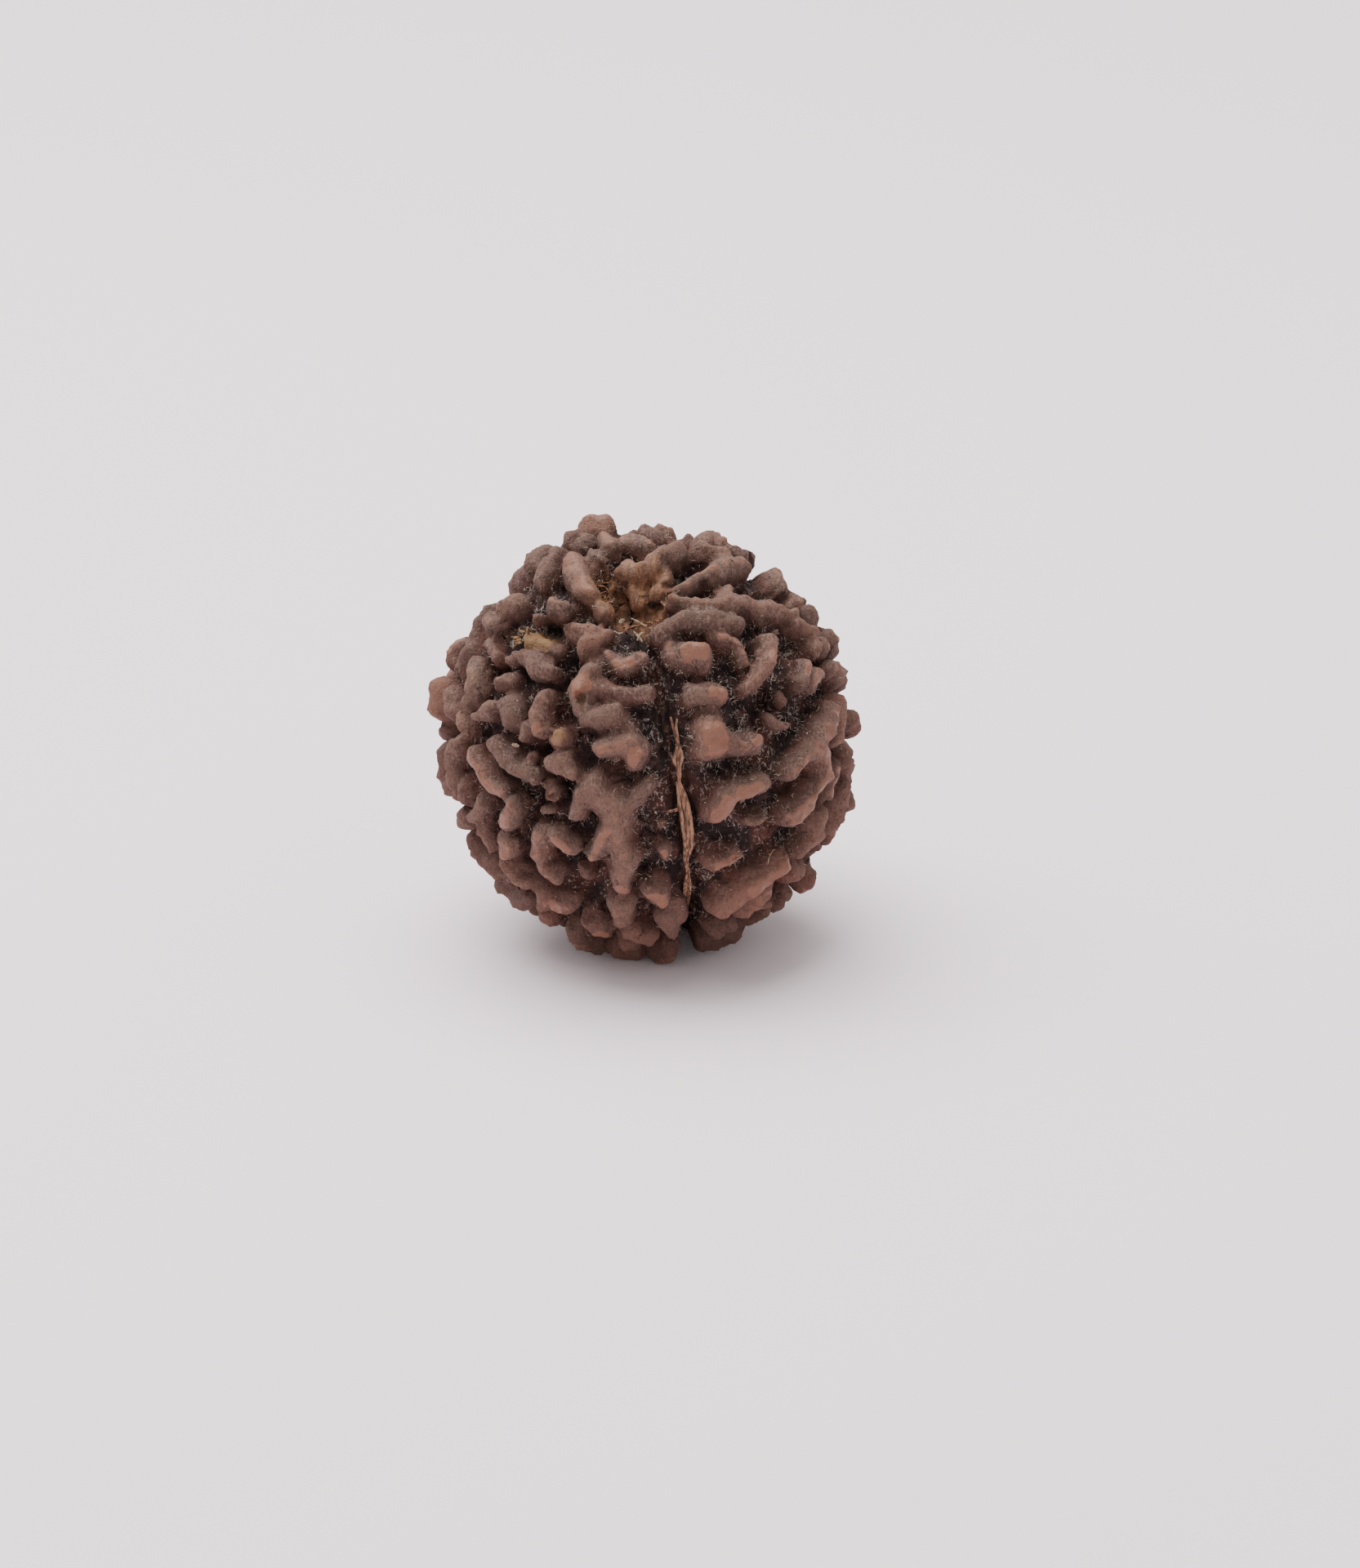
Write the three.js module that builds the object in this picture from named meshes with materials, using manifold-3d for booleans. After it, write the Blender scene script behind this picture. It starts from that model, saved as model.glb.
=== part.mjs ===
// Rudraksha seed: the stone of a blue marble tree's fruit, about 25 mm across, with eight faces.
// A round core has a seam between each two faces and a hollow at its stalk end, and it is covered
// with steep, flat-topped lobes like short fat worms. The lobes in front stand one by one where the
// real ones do. Those behind grow by a seeded rule, the longest first, until there is no more room.
// Everything is fused into one solid, in millimetres, +Z up, with the front towards -Y. The stone
// leans towards the front and rests on the flat spots of its three lowest lobes.

import * as THREE from "three";
import { mergeVertices } from "three/addons/utils/BufferGeometryUtils.js";
import Module from "manifold-3d";

// The stone's body, measured to the tops of the lobes
const CREST_RADIUS = 12.1; // across the long axis
const CREST_HALF_LENGTH = 12.9; // along the long axis
const RELIEF = 1.7; // height of the lobes above the floor between them
const VIEW_ELEVATION = THREE.MathUtils.degToRad(22); // the front is drawn as seen from this high
const AXIS_IN_FRONT = [-0.08, 0.72, 0.69]; // towards the stalk end: right, up, towards the eye
const CENTRE_HEIGHT = 12.3; // of the stone's centre above the surface it rests on
const CENTRE_IN_PLAN = [0.12, -0.045]; // puts the middle of the outline over the origin

// Seams and stalk hollow
const SEAMS_IN_FRONT = [[-11.4, 0.5], [-6.6, -4.5], [2.5, -5.0], [8.9, 0.5]]; // a point on each
const HIDDEN_SEAMS = 4;
const SEAM_HALF_WIDTH = 0.6;
const SEAM_DEPTH = 1.0;
const HOLLOW = [[0, 8.2], [0.45, 8.3], [0.9, 9.5], [1.9, 10.3], [2.6, 10.75]]; // radius, height
const BODY_ROWS = 7;

// Lobes
const ROOT_DEPTH = RELIEF + 0.8; // of a lobe's root, below the tops of the lobes
const ROOT_SHARE = 1.45; // half width of the root, as a share of the lobe's
const TOP_SHARE = 0.68; // half width of the flat top, as a share of the lobe's
const SPACING = 0.25; // least gap round a lobe that grows by the rule
const GROWTH_EDGE = 0.4; // how far round to the front such a lobe may start
const SEED = 8;

// The front lobes, each as the points that its crest runs through: millimetres to the right and
// above the middle of the stone, and the half width there. A second item is how far its top stands
// above the others.
const FRONT_LOBES = [
  // left of the middle seam, from the hollow down
  [[[-4.4, 6.2, 0.5], [-3.2, 6.2, 0.5], [-2.3, 6.3, 0.4]]],
  [[[-2.7, 5.9, 0.45], [-3.5, 5.2, 0.6]]],
  [[[-2.2, 4.7, 0.5], [-1.4, 4.3, 0.5], [-0.3, 4.5, 0.45]], -0.3],
  [[[-3.85, 1.8, 0.7], [-3.75, 2.7, 0.9], [-3.35, 3.6, 0.75]], 0.2],
  [[[-2.8, 2.9, 0.6], [-1.5, 2.5, 0.55], [-0.1, 2.6, 0.5]], -0.25],
  [[[-3.5, 0.9, 0.5], [-2.8, 1.1, 0.6], [-1.9, 1.2, 0.6]], 0.05],
  [[[-1.6, 1.1, 0.6], [-1.2, 0.4, 0.6]], -0.5],
  [[[-2.8, -0.75, 0.5], [-1.9, -0.5, 0.7], [-1.1, -0.6, 0.75], [-0.5, -1.3, 0.65]], 0.1],
  [[[-2.9, -2.9, 0.8], [-3.7, -3.6, 0.75], [-4.2, -4.4, 0.5]], -0.1],
  [[[-2.3, -3.7, 1.25], [-1.6, -5.3, 1.1], [-1.4, -7.2, 0.9], [-1.5, -8.8, 0.65]]],
  [[[-2.1, -5.5, 0.7], [-2.7, -6.2, 0.55], [-3.1, -7.0, 0.65]]],
  [[[-1.5, -4.0, 0.8], [-0.7, -3.5, 0.7], [0.2, -3.0, 0.5]], -0.3],
  [[[0.8, -6.6, 0.4], [1.1, -7.0, 0.45]], -0.2],
  [[[-3.6, -8.3, 0.4]], -0.4],
  [[[-1.5, -9.9, 0.85], [-1.4, -10.8, 0.65]]],
  [[[0.5, -9.0, 0.75], [0.6, -9.8, 0.75]]],
  [[[1.3, -10.6, 0.5], [1.4, -11.5, 0.5]]],
  [[[-3.3, -10.9, 0.6], [-2.6, -11.5, 0.75]]],
  [[[-0.9, -11.6, 0.5], [0.3, -12.0, 0.55]]],
  [[[-4.2, -11.5, 0.65], [-3.1, -12.1, 0.65]], 0.4],
  [[[-1.7, -12.4, 0.65], [-0.6, -12.5, 0.6]], 0.5],
  [[[0.7, -12.5, 0.55], [1.3, -12.3, 0.5]], 0.5],
  [[[-5.2, -6.0, 0.7], [-4.7, -6.5, 0.65]], 0.2],
  [[[-6.1, -5.8, 0.5], [-6.5, -7.0, 0.5], [-5.4, -8.3, 0.55]]],
  [[[-5.3, -9.9, 0.75], [-4.5, -9.9, 0.6]]],
  [[[-6.2, -9.3, 0.65], [-6.0, -10.1, 0.65]]],
  // left of the left seam
  [[[-5.9, 2.2, 0.45], [-6.3, 1.2, 0.6], [-6.2, 0.4, 0.5]]],
  [[[-5.1, -0.1, 0.55]], -0.1],
  [[[-5.6, -1.7, 0.5], [-4.9, -1.6, 0.6], [-4.3, -2.2, 0.4]], -0.1],
  [[[-5.7, -3.2, 0.4]], -0.5],
  [[[-8.2, 1.8, 0.8], [-8.0, 0.9, 0.65]]],
  [[[-7.2, 0.2, 0.45]], -0.2],
  [[[-8.9, -0.4, 0.45], [-8.1, -1.3, 0.5], [-6.7, -2.4, 0.45]]],
  [[[-10.2, 4.1, 0.6], [-10.1, 3.0, 0.6], [-10.5, 1.9, 0.5]]],
  [[[-10.8, 1.2, 0.4], [-10.8, 0.5, 0.4]]],
  [[[-8.9, 3.2, 0.5], [-8.2, 3.4, 0.4]], -0.5],
  [[[-7.2, 4.5, 0.45], [-6.4, 4.1, 0.6], [-5.6, 3.8, 0.35]]],
  [[[-7.3, 5.9, 0.5], [-6.3, 5.6, 0.6], [-5.5, 5.2, 0.45]], -0.7],
  [[[-11.0, 5.6, 0.65], [-11.4, 4.5, 0.6]], 0.3],
  [[[-12.0, 2.9, 0.6], [-12.0, 1.8, 0.6]], 0.6],
  [[[-9.3, 6.9, 0.65], [-8.9, 6.6, 0.5]]],
  [[[-8.5, 7.7, 0.5], [-7.8, 8.0, 0.6]]],
  [[[-10.3, -1.1, 0.6], [-9.5, -2.3, 0.45], [-8.4, -3.3, 0.45]]],
  [[[-11.4, -0.6, 0.55], [-11.5, -2.0, 0.5], [-11.3, -3.4, 0.5]]],
  [[[-9.6, -3.9, 0.5], [-10.2, -4.7, 0.6]]],
  [[[-7.8, -3.9, 0.45], [-8.2, -5.0, 0.55]]],
  [[[-9.7, -5.6, 0.5], [-9.3, -6.6, 0.5]], -0.2],
  [[[-8.3, -6.1, 0.6], [-8.1, -6.9, 0.5]]],
  [[[-8.3, -7.5, 0.45], [-7.6, -8.3, 0.55], [-7.1, -8.6, 0.45]]],
  // right of the middle seam, from the hollow down
  [[[0.8, 6.0, 0.4], [2.4, 6.8, 0.5], [5.4, 6.7, 0.6]]],
  [[[4.1, 6.1, 0.5], [5.2, 5.3, 0.45], [5.8, 4.5, 0.35]], -0.3],
  [[[2.4, 4.8, 0.85], [3.1, 4.6, 0.85]], 0.3],
  [[[2.7, 2.5, 0.6], [3.4, 2.6, 0.6], [4.4, 2.4, 0.4]]],
  [[[3.9, 0.6, 1.05], [3.8, -0.6, 1.0]], 0.2],
  [[[4.6, -0.2, 0.75], [5.7, -0.4, 0.6], [6.6, -0.5, 0.5]]],
  [[[6.5, -2.75, 0.55], [4.7, -3.4, 0.75], [4.4, -4.5, 0.9]], 0.2],
  [[[4.3, -7.5, 0.75], [5.2, -7.0, 0.5]]],
  [[[8.0, -7.4, 0.6], [6.4, -8.5, 0.65], [4.3, -10.0, 0.8]], 0.2],
  [[[6.2, -4.9, 0.4], [6.9, -4.8, 0.45]], -0.3],
  [[[7.5, 1.0, 0.45], [8.3, 0.7, 0.35]], -0.4],
  [[[7.3, 5.5, 0.6], [7.0, 4.3, 0.5], [6.0, 2.8, 0.45]]],
  [[[4.0, -11.5, 0.6], [4.8, -11.3, 0.6]]],
  [[[6.9, -10.3, 0.5], [6.2, -10.9, 0.65]]],
  [[[3.3, -12.2, 0.6], [4.4, -11.9, 0.6], [5.4, -11.4, 0.55]], 0.4],
  // right of the right seam
  [[[5.0, 7.9, 0.4], [6.8, 7.6, 0.45], [8.6, 7.3, 0.35]]],
  [[[8.7, 8.3, 0.45], [9.0, 7.7, 0.45]]],
  [[[8.9, 6.7, 0.4], [9.6, 6.2, 0.45], [10.0, 5.2, 0.45]]],
  [[[10.5, 6.1, 0.55], [11.0, 5.3, 0.55]], 0.2],
  [[[9.4, 4.3, 0.5], [9.1, 3.4, 0.5]]],
  [[[10.3, 3.6, 0.5], [9.9, 3.1, 0.5]], -0.2],
  [[[11.0, 4.0, 0.5], [11.8, 3.4, 0.5]]],
  [[[12.0, 1.0, 0.6], [12.2, 0.6, 0.5]], 0.3],
  [[[11.1, 1.5, 0.55], [10.1, -0.3, 0.75], [8.4, -2.2, 0.55]]],
  [[[10.2, -0.9, 0.7], [10.6, -2.1, 0.7]]],
  [[[10.3, -2.6, 0.75], [9.5, -3.7, 0.85], [8.7, -4.8, 0.85]]],
  [[[10.2, -4.9, 0.75], [10.0, -5.9, 0.8], [9.2, -6.7, 0.7]]],
  [[[11.6, -3.8, 0.5], [12.1, -3.6, 0.5]], 0.4],
  [[[11.8, -1.2, 0.4], [12.0, -2.4, 0.5]]],
  [[[11.5, -5.0, 0.5], [10.9, -6.1, 0.5]]],
  [[[9.3, -8.5, 0.65]], 0.6],
  [[[8.1, -9.2, 0.45]], 0.2],
  // round the far side of the hollow
  [[[2.2, 8.8, 0.45], [3.8, 9.7, 0.5], [5.8, 10.2, 0.5]]],
  [[[1.5, 8.0, 0.35], [3.4, 7.6, 0.35], [4.4, 8.0, 0.4], [4.8, 8.8, 0.45]], -0.2],
  [[[-0.2, 10.0, 0.4], [1.0, 10.7, 0.65], [1.9, 11.1, 0.6]]],
  [[[-1.3, 10.3, 0.55], [-0.6, 9.9, 0.4]], -0.2],
  [[[3.4, 11.6, 0.5], [3.9, 12.0, 0.5], [4.6, 11.4, 0.5]]],
  [[[5.3, 11.0, 0.4], [6.0, 10.8, 0.4]]],
  [[[7.5, 9.7, 0.65], [7.9, 9.0, 0.55]]],
  [[[-4.3, 10.5, 0.6], [-4.1, 9.4, 0.6], [-3.3, 8.4, 0.45]]],
  [[[-5.3, 7.7, 0.55], [-4.7, 7.6, 0.4]]],
  [[[-6.4, 11.2, 0.55], [-6.9, 10.0, 0.55]], 0.2],
  [[[-5.3, 11.1, 0.6], [-5.9, 10.1, 0.5], [-6.4, 9.2, 0.45]]],
  [[[-3.3, 12.7, 0.7], [-2.5, 12.7, 0.7]], 0.7],
  [[[-4.9, 11.9, 0.5], [-4.3, 12.1, 0.5]], 0.2],
  [[[-2.3, 11.8, 0.5], [-2.2, 11.2, 0.45]]],
  [[[-1.4, 11.7, 0.4], [0.3, 11.4, 0.45]], -0.2],
  [[[-1.0, 12.6, 0.55], [0.5, 12.6, 0.55], [2.0, 12.4, 0.55]], -0.9],
  // folds that run down into the hollow
  [[[-3.2, 8.3, 0.5], [-2.6, 7.4, 0.4]], -0.7],
  [[[-0.8, 10.0, 0.5], [-0.2, 8.9, 0.45]], -1.2],
  [[[1.1, 10.2, 0.45], [0.9, 9.0, 0.45]], -0.8],
];

const FOOT_FLAT_DEPTH = 0.3; // how much of a foot's top is worn off flat
// The feet, as the plan position and half width of each point, seen from above
const FEET = [
  [[-0.3, 0.1, 0.75], [0.8, 0.3, 0.75]],
  [[-1.3, -2.3, 0.7], [-0.1, -2.6, 0.8], [1.0, -2.4, 0.65]],
  [[-2.2, 1.9, 0.7], [-3.2, 1.5, 0.65]],
  [[2.7, 1.3, 0.7], [3.4, 0.6, 0.65]],
];

const wasm = await Module();
wasm.setup();

const RIGHT = new THREE.Vector3(1, 0, 0);
const UP_IN_FRONT = new THREE.Vector3(0, Math.sin(VIEW_ELEVATION), Math.cos(VIEW_ELEVATION));
const TO_EYE = new THREE.Vector3(0, -Math.cos(VIEW_ELEVATION), Math.sin(VIEW_ELEVATION));
const AXIS = fromFront(...AXIS_IN_FRONT).normalize();

// A point drawn in the front view, as a vector from the stone's centre.
function fromFront(right, up, near) {
  return new THREE.Vector3()
    .addScaledVector(RIGHT, right)
    .addScaledVector(UP_IN_FRONT, up)
    .addScaledVector(TO_EYE, near);
}

// The point on the surface of the lobes' tops in a direction from the centre.
function crestAlong(direction) {
  const along = direction.dot(AXIS) / direction.length();
  const across = Math.sqrt(1 - along * along);
  const reach = Math.hypot(across / CREST_RADIUS, along / CREST_HALF_LENGTH);
  return direction.clone().setLength(1 / reach);
}

// The nearer of the two points on that surface that a line parallel to `line` through `start` meets,
// or its nearest approach if it passes outside.
function crestOnLine(start, line) {
  const squash = (CREST_RADIUS / CREST_HALF_LENGTH) ** 2 - 1;
  const a = 1 + squash * line.dot(AXIS) ** 2;
  const b = start.dot(line) + squash * start.dot(AXIS) * line.dot(AXIS);
  const c = start.lengthSq() + squash * start.dot(AXIS) ** 2 - CREST_RADIUS ** 2;
  const step = (-b + Math.sqrt(Math.max(0, b * b - a * c))) / a;
  return crestAlong(start.clone().addScaledVector(line, step));
}

// The outward direction of that surface at one of its points.
function outwards(point) {
  const along = point.dot(AXIS);
  return point
    .clone()
    .addScaledVector(AXIS, -along)
    .divideScalar(CREST_RADIUS ** 2)
    .addScaledVector(AXIS, along / CREST_HALF_LENGTH ** 2)
    .normalize();
}

function toSolid(geometry) {
  geometry.deleteAttribute("normal");
  geometry.deleteAttribute("uv");
  const merged = mergeVertices(geometry, 1e-4);
  return new wasm.Manifold(
    new wasm.Mesh({
      numProp: 3,
      vertProperties: merged.attributes.position.array,
      triVerts: new Uint32Array(merged.index.array),
    }),
  );
}

function toGeometry(solid) {
  const { vertProperties, triVerts } = solid.getMesh();
  const geometry = new THREE.BufferGeometry();
  geometry.setAttribute("position", new THREE.BufferAttribute(vertProperties, 3));
  geometry.setIndex(new THREE.BufferAttribute(triVerts, 1));
  geometry.computeVertexNormals();
  return geometry;
}

// Directions across and beside the axis, which give the angle of a point round it.
const ROUND_START = fromFront(1, 0, 0).projectOnPlane(AXIS).normalize();
const ROUND_SIDE = AXIS.clone().cross(ROUND_START);
const FULL_TURN = 2 * Math.PI;

function angleRound(point) {
  const angle = Math.atan2(point.dot(ROUND_SIDE), point.dot(ROUND_START));
  return (angle + FULL_TURN) % FULL_TURN;
}

// The seams' angles round the axis, in order: those seen in front, then the hidden ones, which
// share the rest of the turn evenly.
function seamAngles() {
  const seen = SEAMS_IN_FRONT.map(([x, y]) => angleRound(crestOnLine(fromFront(x, y, 0), TO_EYE)));
  const first = seen[0];
  const turned = seen.map((angle) => (angle - first + FULL_TURN) % FULL_TURN);
  const last = turned[turned.length - 1];
  const share = (FULL_TURN - last) / (HIDDEN_SEAMS + 1);
  for (let i = 1; i <= HIDDEN_SEAMS; i++) turned.push(last + i * share);
  return turned.map((angle) => angle + first);
}

const SEAMS = seamAngles();

// How far a point is from the nearest seam, along the surface.
function seamGap(point) {
  const radius = Math.sqrt(point.lengthSq() - point.dot(AXIS) ** 2);
  const angle = angleRound(point);
  return Math.min(...SEAMS.map((seam) => Math.acos(Math.cos(angle - seam)) * radius));
}

// The core: a profile from the far tip over the rim to the bottom of the stalk hollow, turned round
// the axis, with four columns of points to each face. The first column runs down in the seam.
function coreProfile() {
  const radius = CREST_RADIUS - RELIEF;
  const halfLength = CREST_HALF_LENGTH - RELIEF;
  const rim = HOLLOW[HOLLOW.length - 1][0];
  const start = Math.asin(rim / radius) + 0.12;
  const body = Array.from({ length: BODY_ROWS + 1 }, (_, i) => {
    const t = start + ((Math.PI - start) * i) / BODY_ROWS;
    return [i === BODY_ROWS ? 0 : radius * Math.sin(t), halfLength * Math.cos(t)];
  });
  return [...HOLLOW, ...body].reverse();
}

function coreGeometry() {
  const profile = coreProfile();
  const columns = SEAMS.flatMap((seam, i) => {
    const face = (SEAMS[(i + 1) % SEAMS.length] - seam + FULL_TURN) % FULL_TURN;
    return [
      { angle: seam, shift: 0, sunk: 1 },
      { angle: seam, shift: 1, sunk: 0 },
      { angle: seam + face / 2, shift: 0, sunk: 0 },
      { angle: seam + face, shift: -1, sunk: 0 },
    ];
  });
  const geometry = new THREE.LatheGeometry(
    profile.map(([radius, height]) => new THREE.Vector2(radius, height)),
    columns.length,
  );
  const position = geometry.attributes.position;
  for (let column = 0; column <= columns.length; column++) {
    const { angle, shift, sunk } = columns[column % columns.length];
    profile.forEach(([radius, height], row) => {
      const inBody = row <= BODY_ROWS && radius > 0 ? 1 : 0;
      const turn = angle + shift * Math.min(SEAM_HALF_WIDTH / Math.max(radius, 0.1), 0.2);
      const reach = radius - sunk * inBody * Math.min(SEAM_DEPTH, radius / 3);
      const point = AXIS.clone()
        .multiplyScalar(height)
        .addScaledVector(ROUND_START, reach * Math.cos(turn))
        .addScaledVector(ROUND_SIDE, reach * Math.sin(turn));
      position.setXYZ(column * profile.length + row, ...point);
    });
  }
  return geometry;
}

// A lobe: an outline drawn round its crest, pointed at both ends, round the flat top and wider round
// the root inside the core. A crest point is { at, half }, on the surface of the lobes' tops.
function lobeGeometry(points, rise) {
  const crest = points.length > 1 ? points : drawnOut(points[0]);
  const count = crest.length;
  const frames = crest.map(({ at }, i) => {
    const normal = outwards(at);
    const before = crest[Math.max(i - 1, 0)].at;
    const after = crest[Math.min(i + 1, count - 1)].at;
    const ahead = after.clone().sub(before).projectOnPlane(normal).normalize();
    return { normal, ahead, side: normal.clone().cross(ahead) };
  });
  const indices = crest.map((_, i) => i);
  const outline = [
    ...indices.map((i) => [i, -90]),
    [count - 1, 0],
    ...indices.toReversed().map((i) => [i, 90]),
    [0, 180],
  ];
  const ring = (height, share) =>
    outline.flatMap(([i, degrees]) => {
      const { at, half } = crest[i];
      const { normal, ahead, side } = frames[i];
      const angle = THREE.MathUtils.degToRad(degrees);
      return at
        .clone()
        .addScaledVector(normal, height)
        .addScaledVector(ahead, Math.cos(angle) * half * share)
        .addScaledVector(side, Math.sin(angle) * half * share)
        .toArray();
    });
  const vertices = [...ring(-ROOT_DEPTH, ROOT_SHARE), ...ring(rise, TOP_SHARE)];
  const size = outline.length;
  const left = (i) => 2 * count - i;
  const top = [[0, left(0), size - 1]];
  for (let i = 0; i + 1 < count; i++) top.push([i, i + 1, left(i + 1)], [i, left(i + 1), left(i)]);
  top.push([count - 1, count, count + 1]);
  const faces = top.flatMap(([a, b, c]) => [c, b, a, a + size, b + size, c + size]);
  for (let k = 0; k < size; k++) {
    const next = (k + 1) % size;
    faces.push(k, next, next + size, k, next + size, k + size);
  }
  const geometry = new THREE.BufferGeometry();
  geometry.setAttribute("position", new THREE.Float32BufferAttribute(vertices, 3));
  geometry.setIndex(faces);
  return geometry;
}

// A crest of one point, drawn out a little towards the stalk end.
function drawnOut({ at, half }) {
  const ahead = AXIS.clone().projectOnPlane(outwards(at)).setLength(half * 0.3);
  return [
    { at: at.clone().sub(ahead), half },
    { at: at.clone().add(ahead), half },
  ];
}

function placedLobes() {
  const front = FRONT_LOBES.map(([points, rise = 0]) => ({
    rise,
    crest: points.map(([x, y, half]) => ({ at: crestOnLine(fromFront(x, y, 0), TO_EYE), half })),
  }));
  const down = new THREE.Vector3(0, 0, -1);
  const feet = FEET.map((points) => {
    const crest = points.map(([x, y, half]) => ({
      at: crestOnLine(new THREE.Vector3(x, y, 0), down),
      half,
    }));
    return { rise: CENTRE_HEIGHT + crest[0].at.z + FOOT_FLAT_DEPTH, crest };
  });
  return [...front, ...feet];
}

// A small repeatable source of random numbers from 0 to 1.
function randomSource(seed) {
  let state = seed;
  return () => {
    state = (state + 0x6d2b79f5) | 0;
    let t = Math.imul(state ^ (state >>> 15), 1 | state);
    t = (t + Math.imul(t ^ (t >>> 7), 61 | t)) ^ t;
    return ((t ^ (t >>> 14)) >>> 0) / 4294967296;
  };
}

// The lobes that the front view doesn't show. Each starts at a free place and grows ahead in short
// steps while there is room. Three rounds take lobes of at least three, two and one points.
function grownLobes(placed) {
  const random = randomSource(SEED);
  const taken = placed.flatMap(({ crest }) => crest);
  const isFree = (at, half) =>
    angleFromStalk(at) > 0.3 &&
    seamGap(at) > half + SEAM_HALF_WIDTH * 0.8 &&
    taken.every((other) => at.distanceTo(other.at) > half + other.half + SPACING);
  const grown = [];
  for (const [least, tries] of [[3, 1500], [2, 2500], [1, 1500]])
    for (let i = 0; i < tries; i++) {
      const height = 2 * random() - 1;
      const turn = FULL_TURN * random();
      const flat = Math.sqrt(1 - height * height);
      const half = 0.55 + 0.3 * random();
      let at = crestAlong(new THREE.Vector3(flat * Math.cos(turn), flat * Math.sin(turn), height));
      let heading = random() * FULL_TURN;
      const crest = [];
      if (outwards(at).dot(TO_EYE) > GROWTH_EDGE) continue;
      while (crest.length < 4 && isFree(at, half)) {
        const point = { at, half: half * (0.85 + 0.3 * random()) };
        crest.push(point);
        const normal = outwards(at);
        const ahead = AXIS.clone().projectOnPlane(normal).normalize();
        ahead.applyAxisAngle(normal, heading);
        at = crestAlong(at.clone().addScaledVector(ahead, 0.8 + half));
        heading += 1.6 * (random() - 0.5);
      }
      if (crest.length < least) continue;
      taken.push(...crest);
      grown.push({ rise: 0.5 * (random() - 0.6), crest });
    }
  return grown;
}

function angleFromStalk(point) {
  return point.angleTo(AXIS);
}

function seedSolid() {
  const placed = placedLobes();
  const lobes = [...placed, ...grownLobes(placed)];
  let solid = toSolid(coreGeometry());
  for (const { crest, rise } of lobes) solid = solid.add(toSolid(lobeGeometry(crest, rise)));
  const ground = new THREE.BoxGeometry(40, 40, 10);
  ground.translate(0, 0, -CENTRE_HEIGHT - 5);
  return solid.subtract(toSolid(ground));
}

const stone = new THREE.Mesh(
  toGeometry(seedSolid()),
  new THREE.MeshStandardMaterial({ color: 0x7a5a4c, roughness: 0.75, metalness: 0 }),
);
stone.name = "rudraksha_stone";
stone.position.set(...CENTRE_IN_PLAN, CENTRE_HEIGHT);

const seed = new THREE.Group();
seed.add(stone);

export default seed;
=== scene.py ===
"""Dresses a rudraksha seed: the lobed stone of a blue marble tree's fruit, 25 mm across.

The fine stone repeats the rule that places the lobes on the plain solid, then gives every lobe a
rounded, slightly undercut form. Dry fibres in its seams and stalk hollow, pale fluff and dust are
separate pieces. Lengths are in millimetres from the stone's centre until a mesh is written.
"""

import logging
import math
from collections.abc import Callable, Iterable
from dataclasses import dataclass, field
from enum import Enum

import bmesh
import bpy
import numpy as np
from mathutils import Matrix, Vector


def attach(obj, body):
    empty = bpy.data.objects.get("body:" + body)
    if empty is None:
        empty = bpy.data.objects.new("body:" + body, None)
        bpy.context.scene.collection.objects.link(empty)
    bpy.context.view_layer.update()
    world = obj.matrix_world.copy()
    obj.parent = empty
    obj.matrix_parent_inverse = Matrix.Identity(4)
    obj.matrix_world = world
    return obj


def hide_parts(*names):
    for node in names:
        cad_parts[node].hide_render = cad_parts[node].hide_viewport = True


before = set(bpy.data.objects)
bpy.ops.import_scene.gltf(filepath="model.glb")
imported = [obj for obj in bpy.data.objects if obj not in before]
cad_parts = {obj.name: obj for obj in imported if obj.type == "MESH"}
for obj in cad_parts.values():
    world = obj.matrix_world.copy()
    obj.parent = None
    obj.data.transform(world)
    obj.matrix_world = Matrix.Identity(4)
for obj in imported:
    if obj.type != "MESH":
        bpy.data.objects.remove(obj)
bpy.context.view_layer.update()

log = logging.getLogger("rudraksha")

BODY = "root"
NODE = "rudraksha_stone"
MM = 0.001
FULL_TURN = 2 * math.pi
LOW_32_BITS = 0xFFFFFFFF
FAR = 9.0
SAME_PLACE = 1e-6

Array = np.ndarray
Colour = tuple[float, float, float]
LobeList = list[list]

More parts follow.
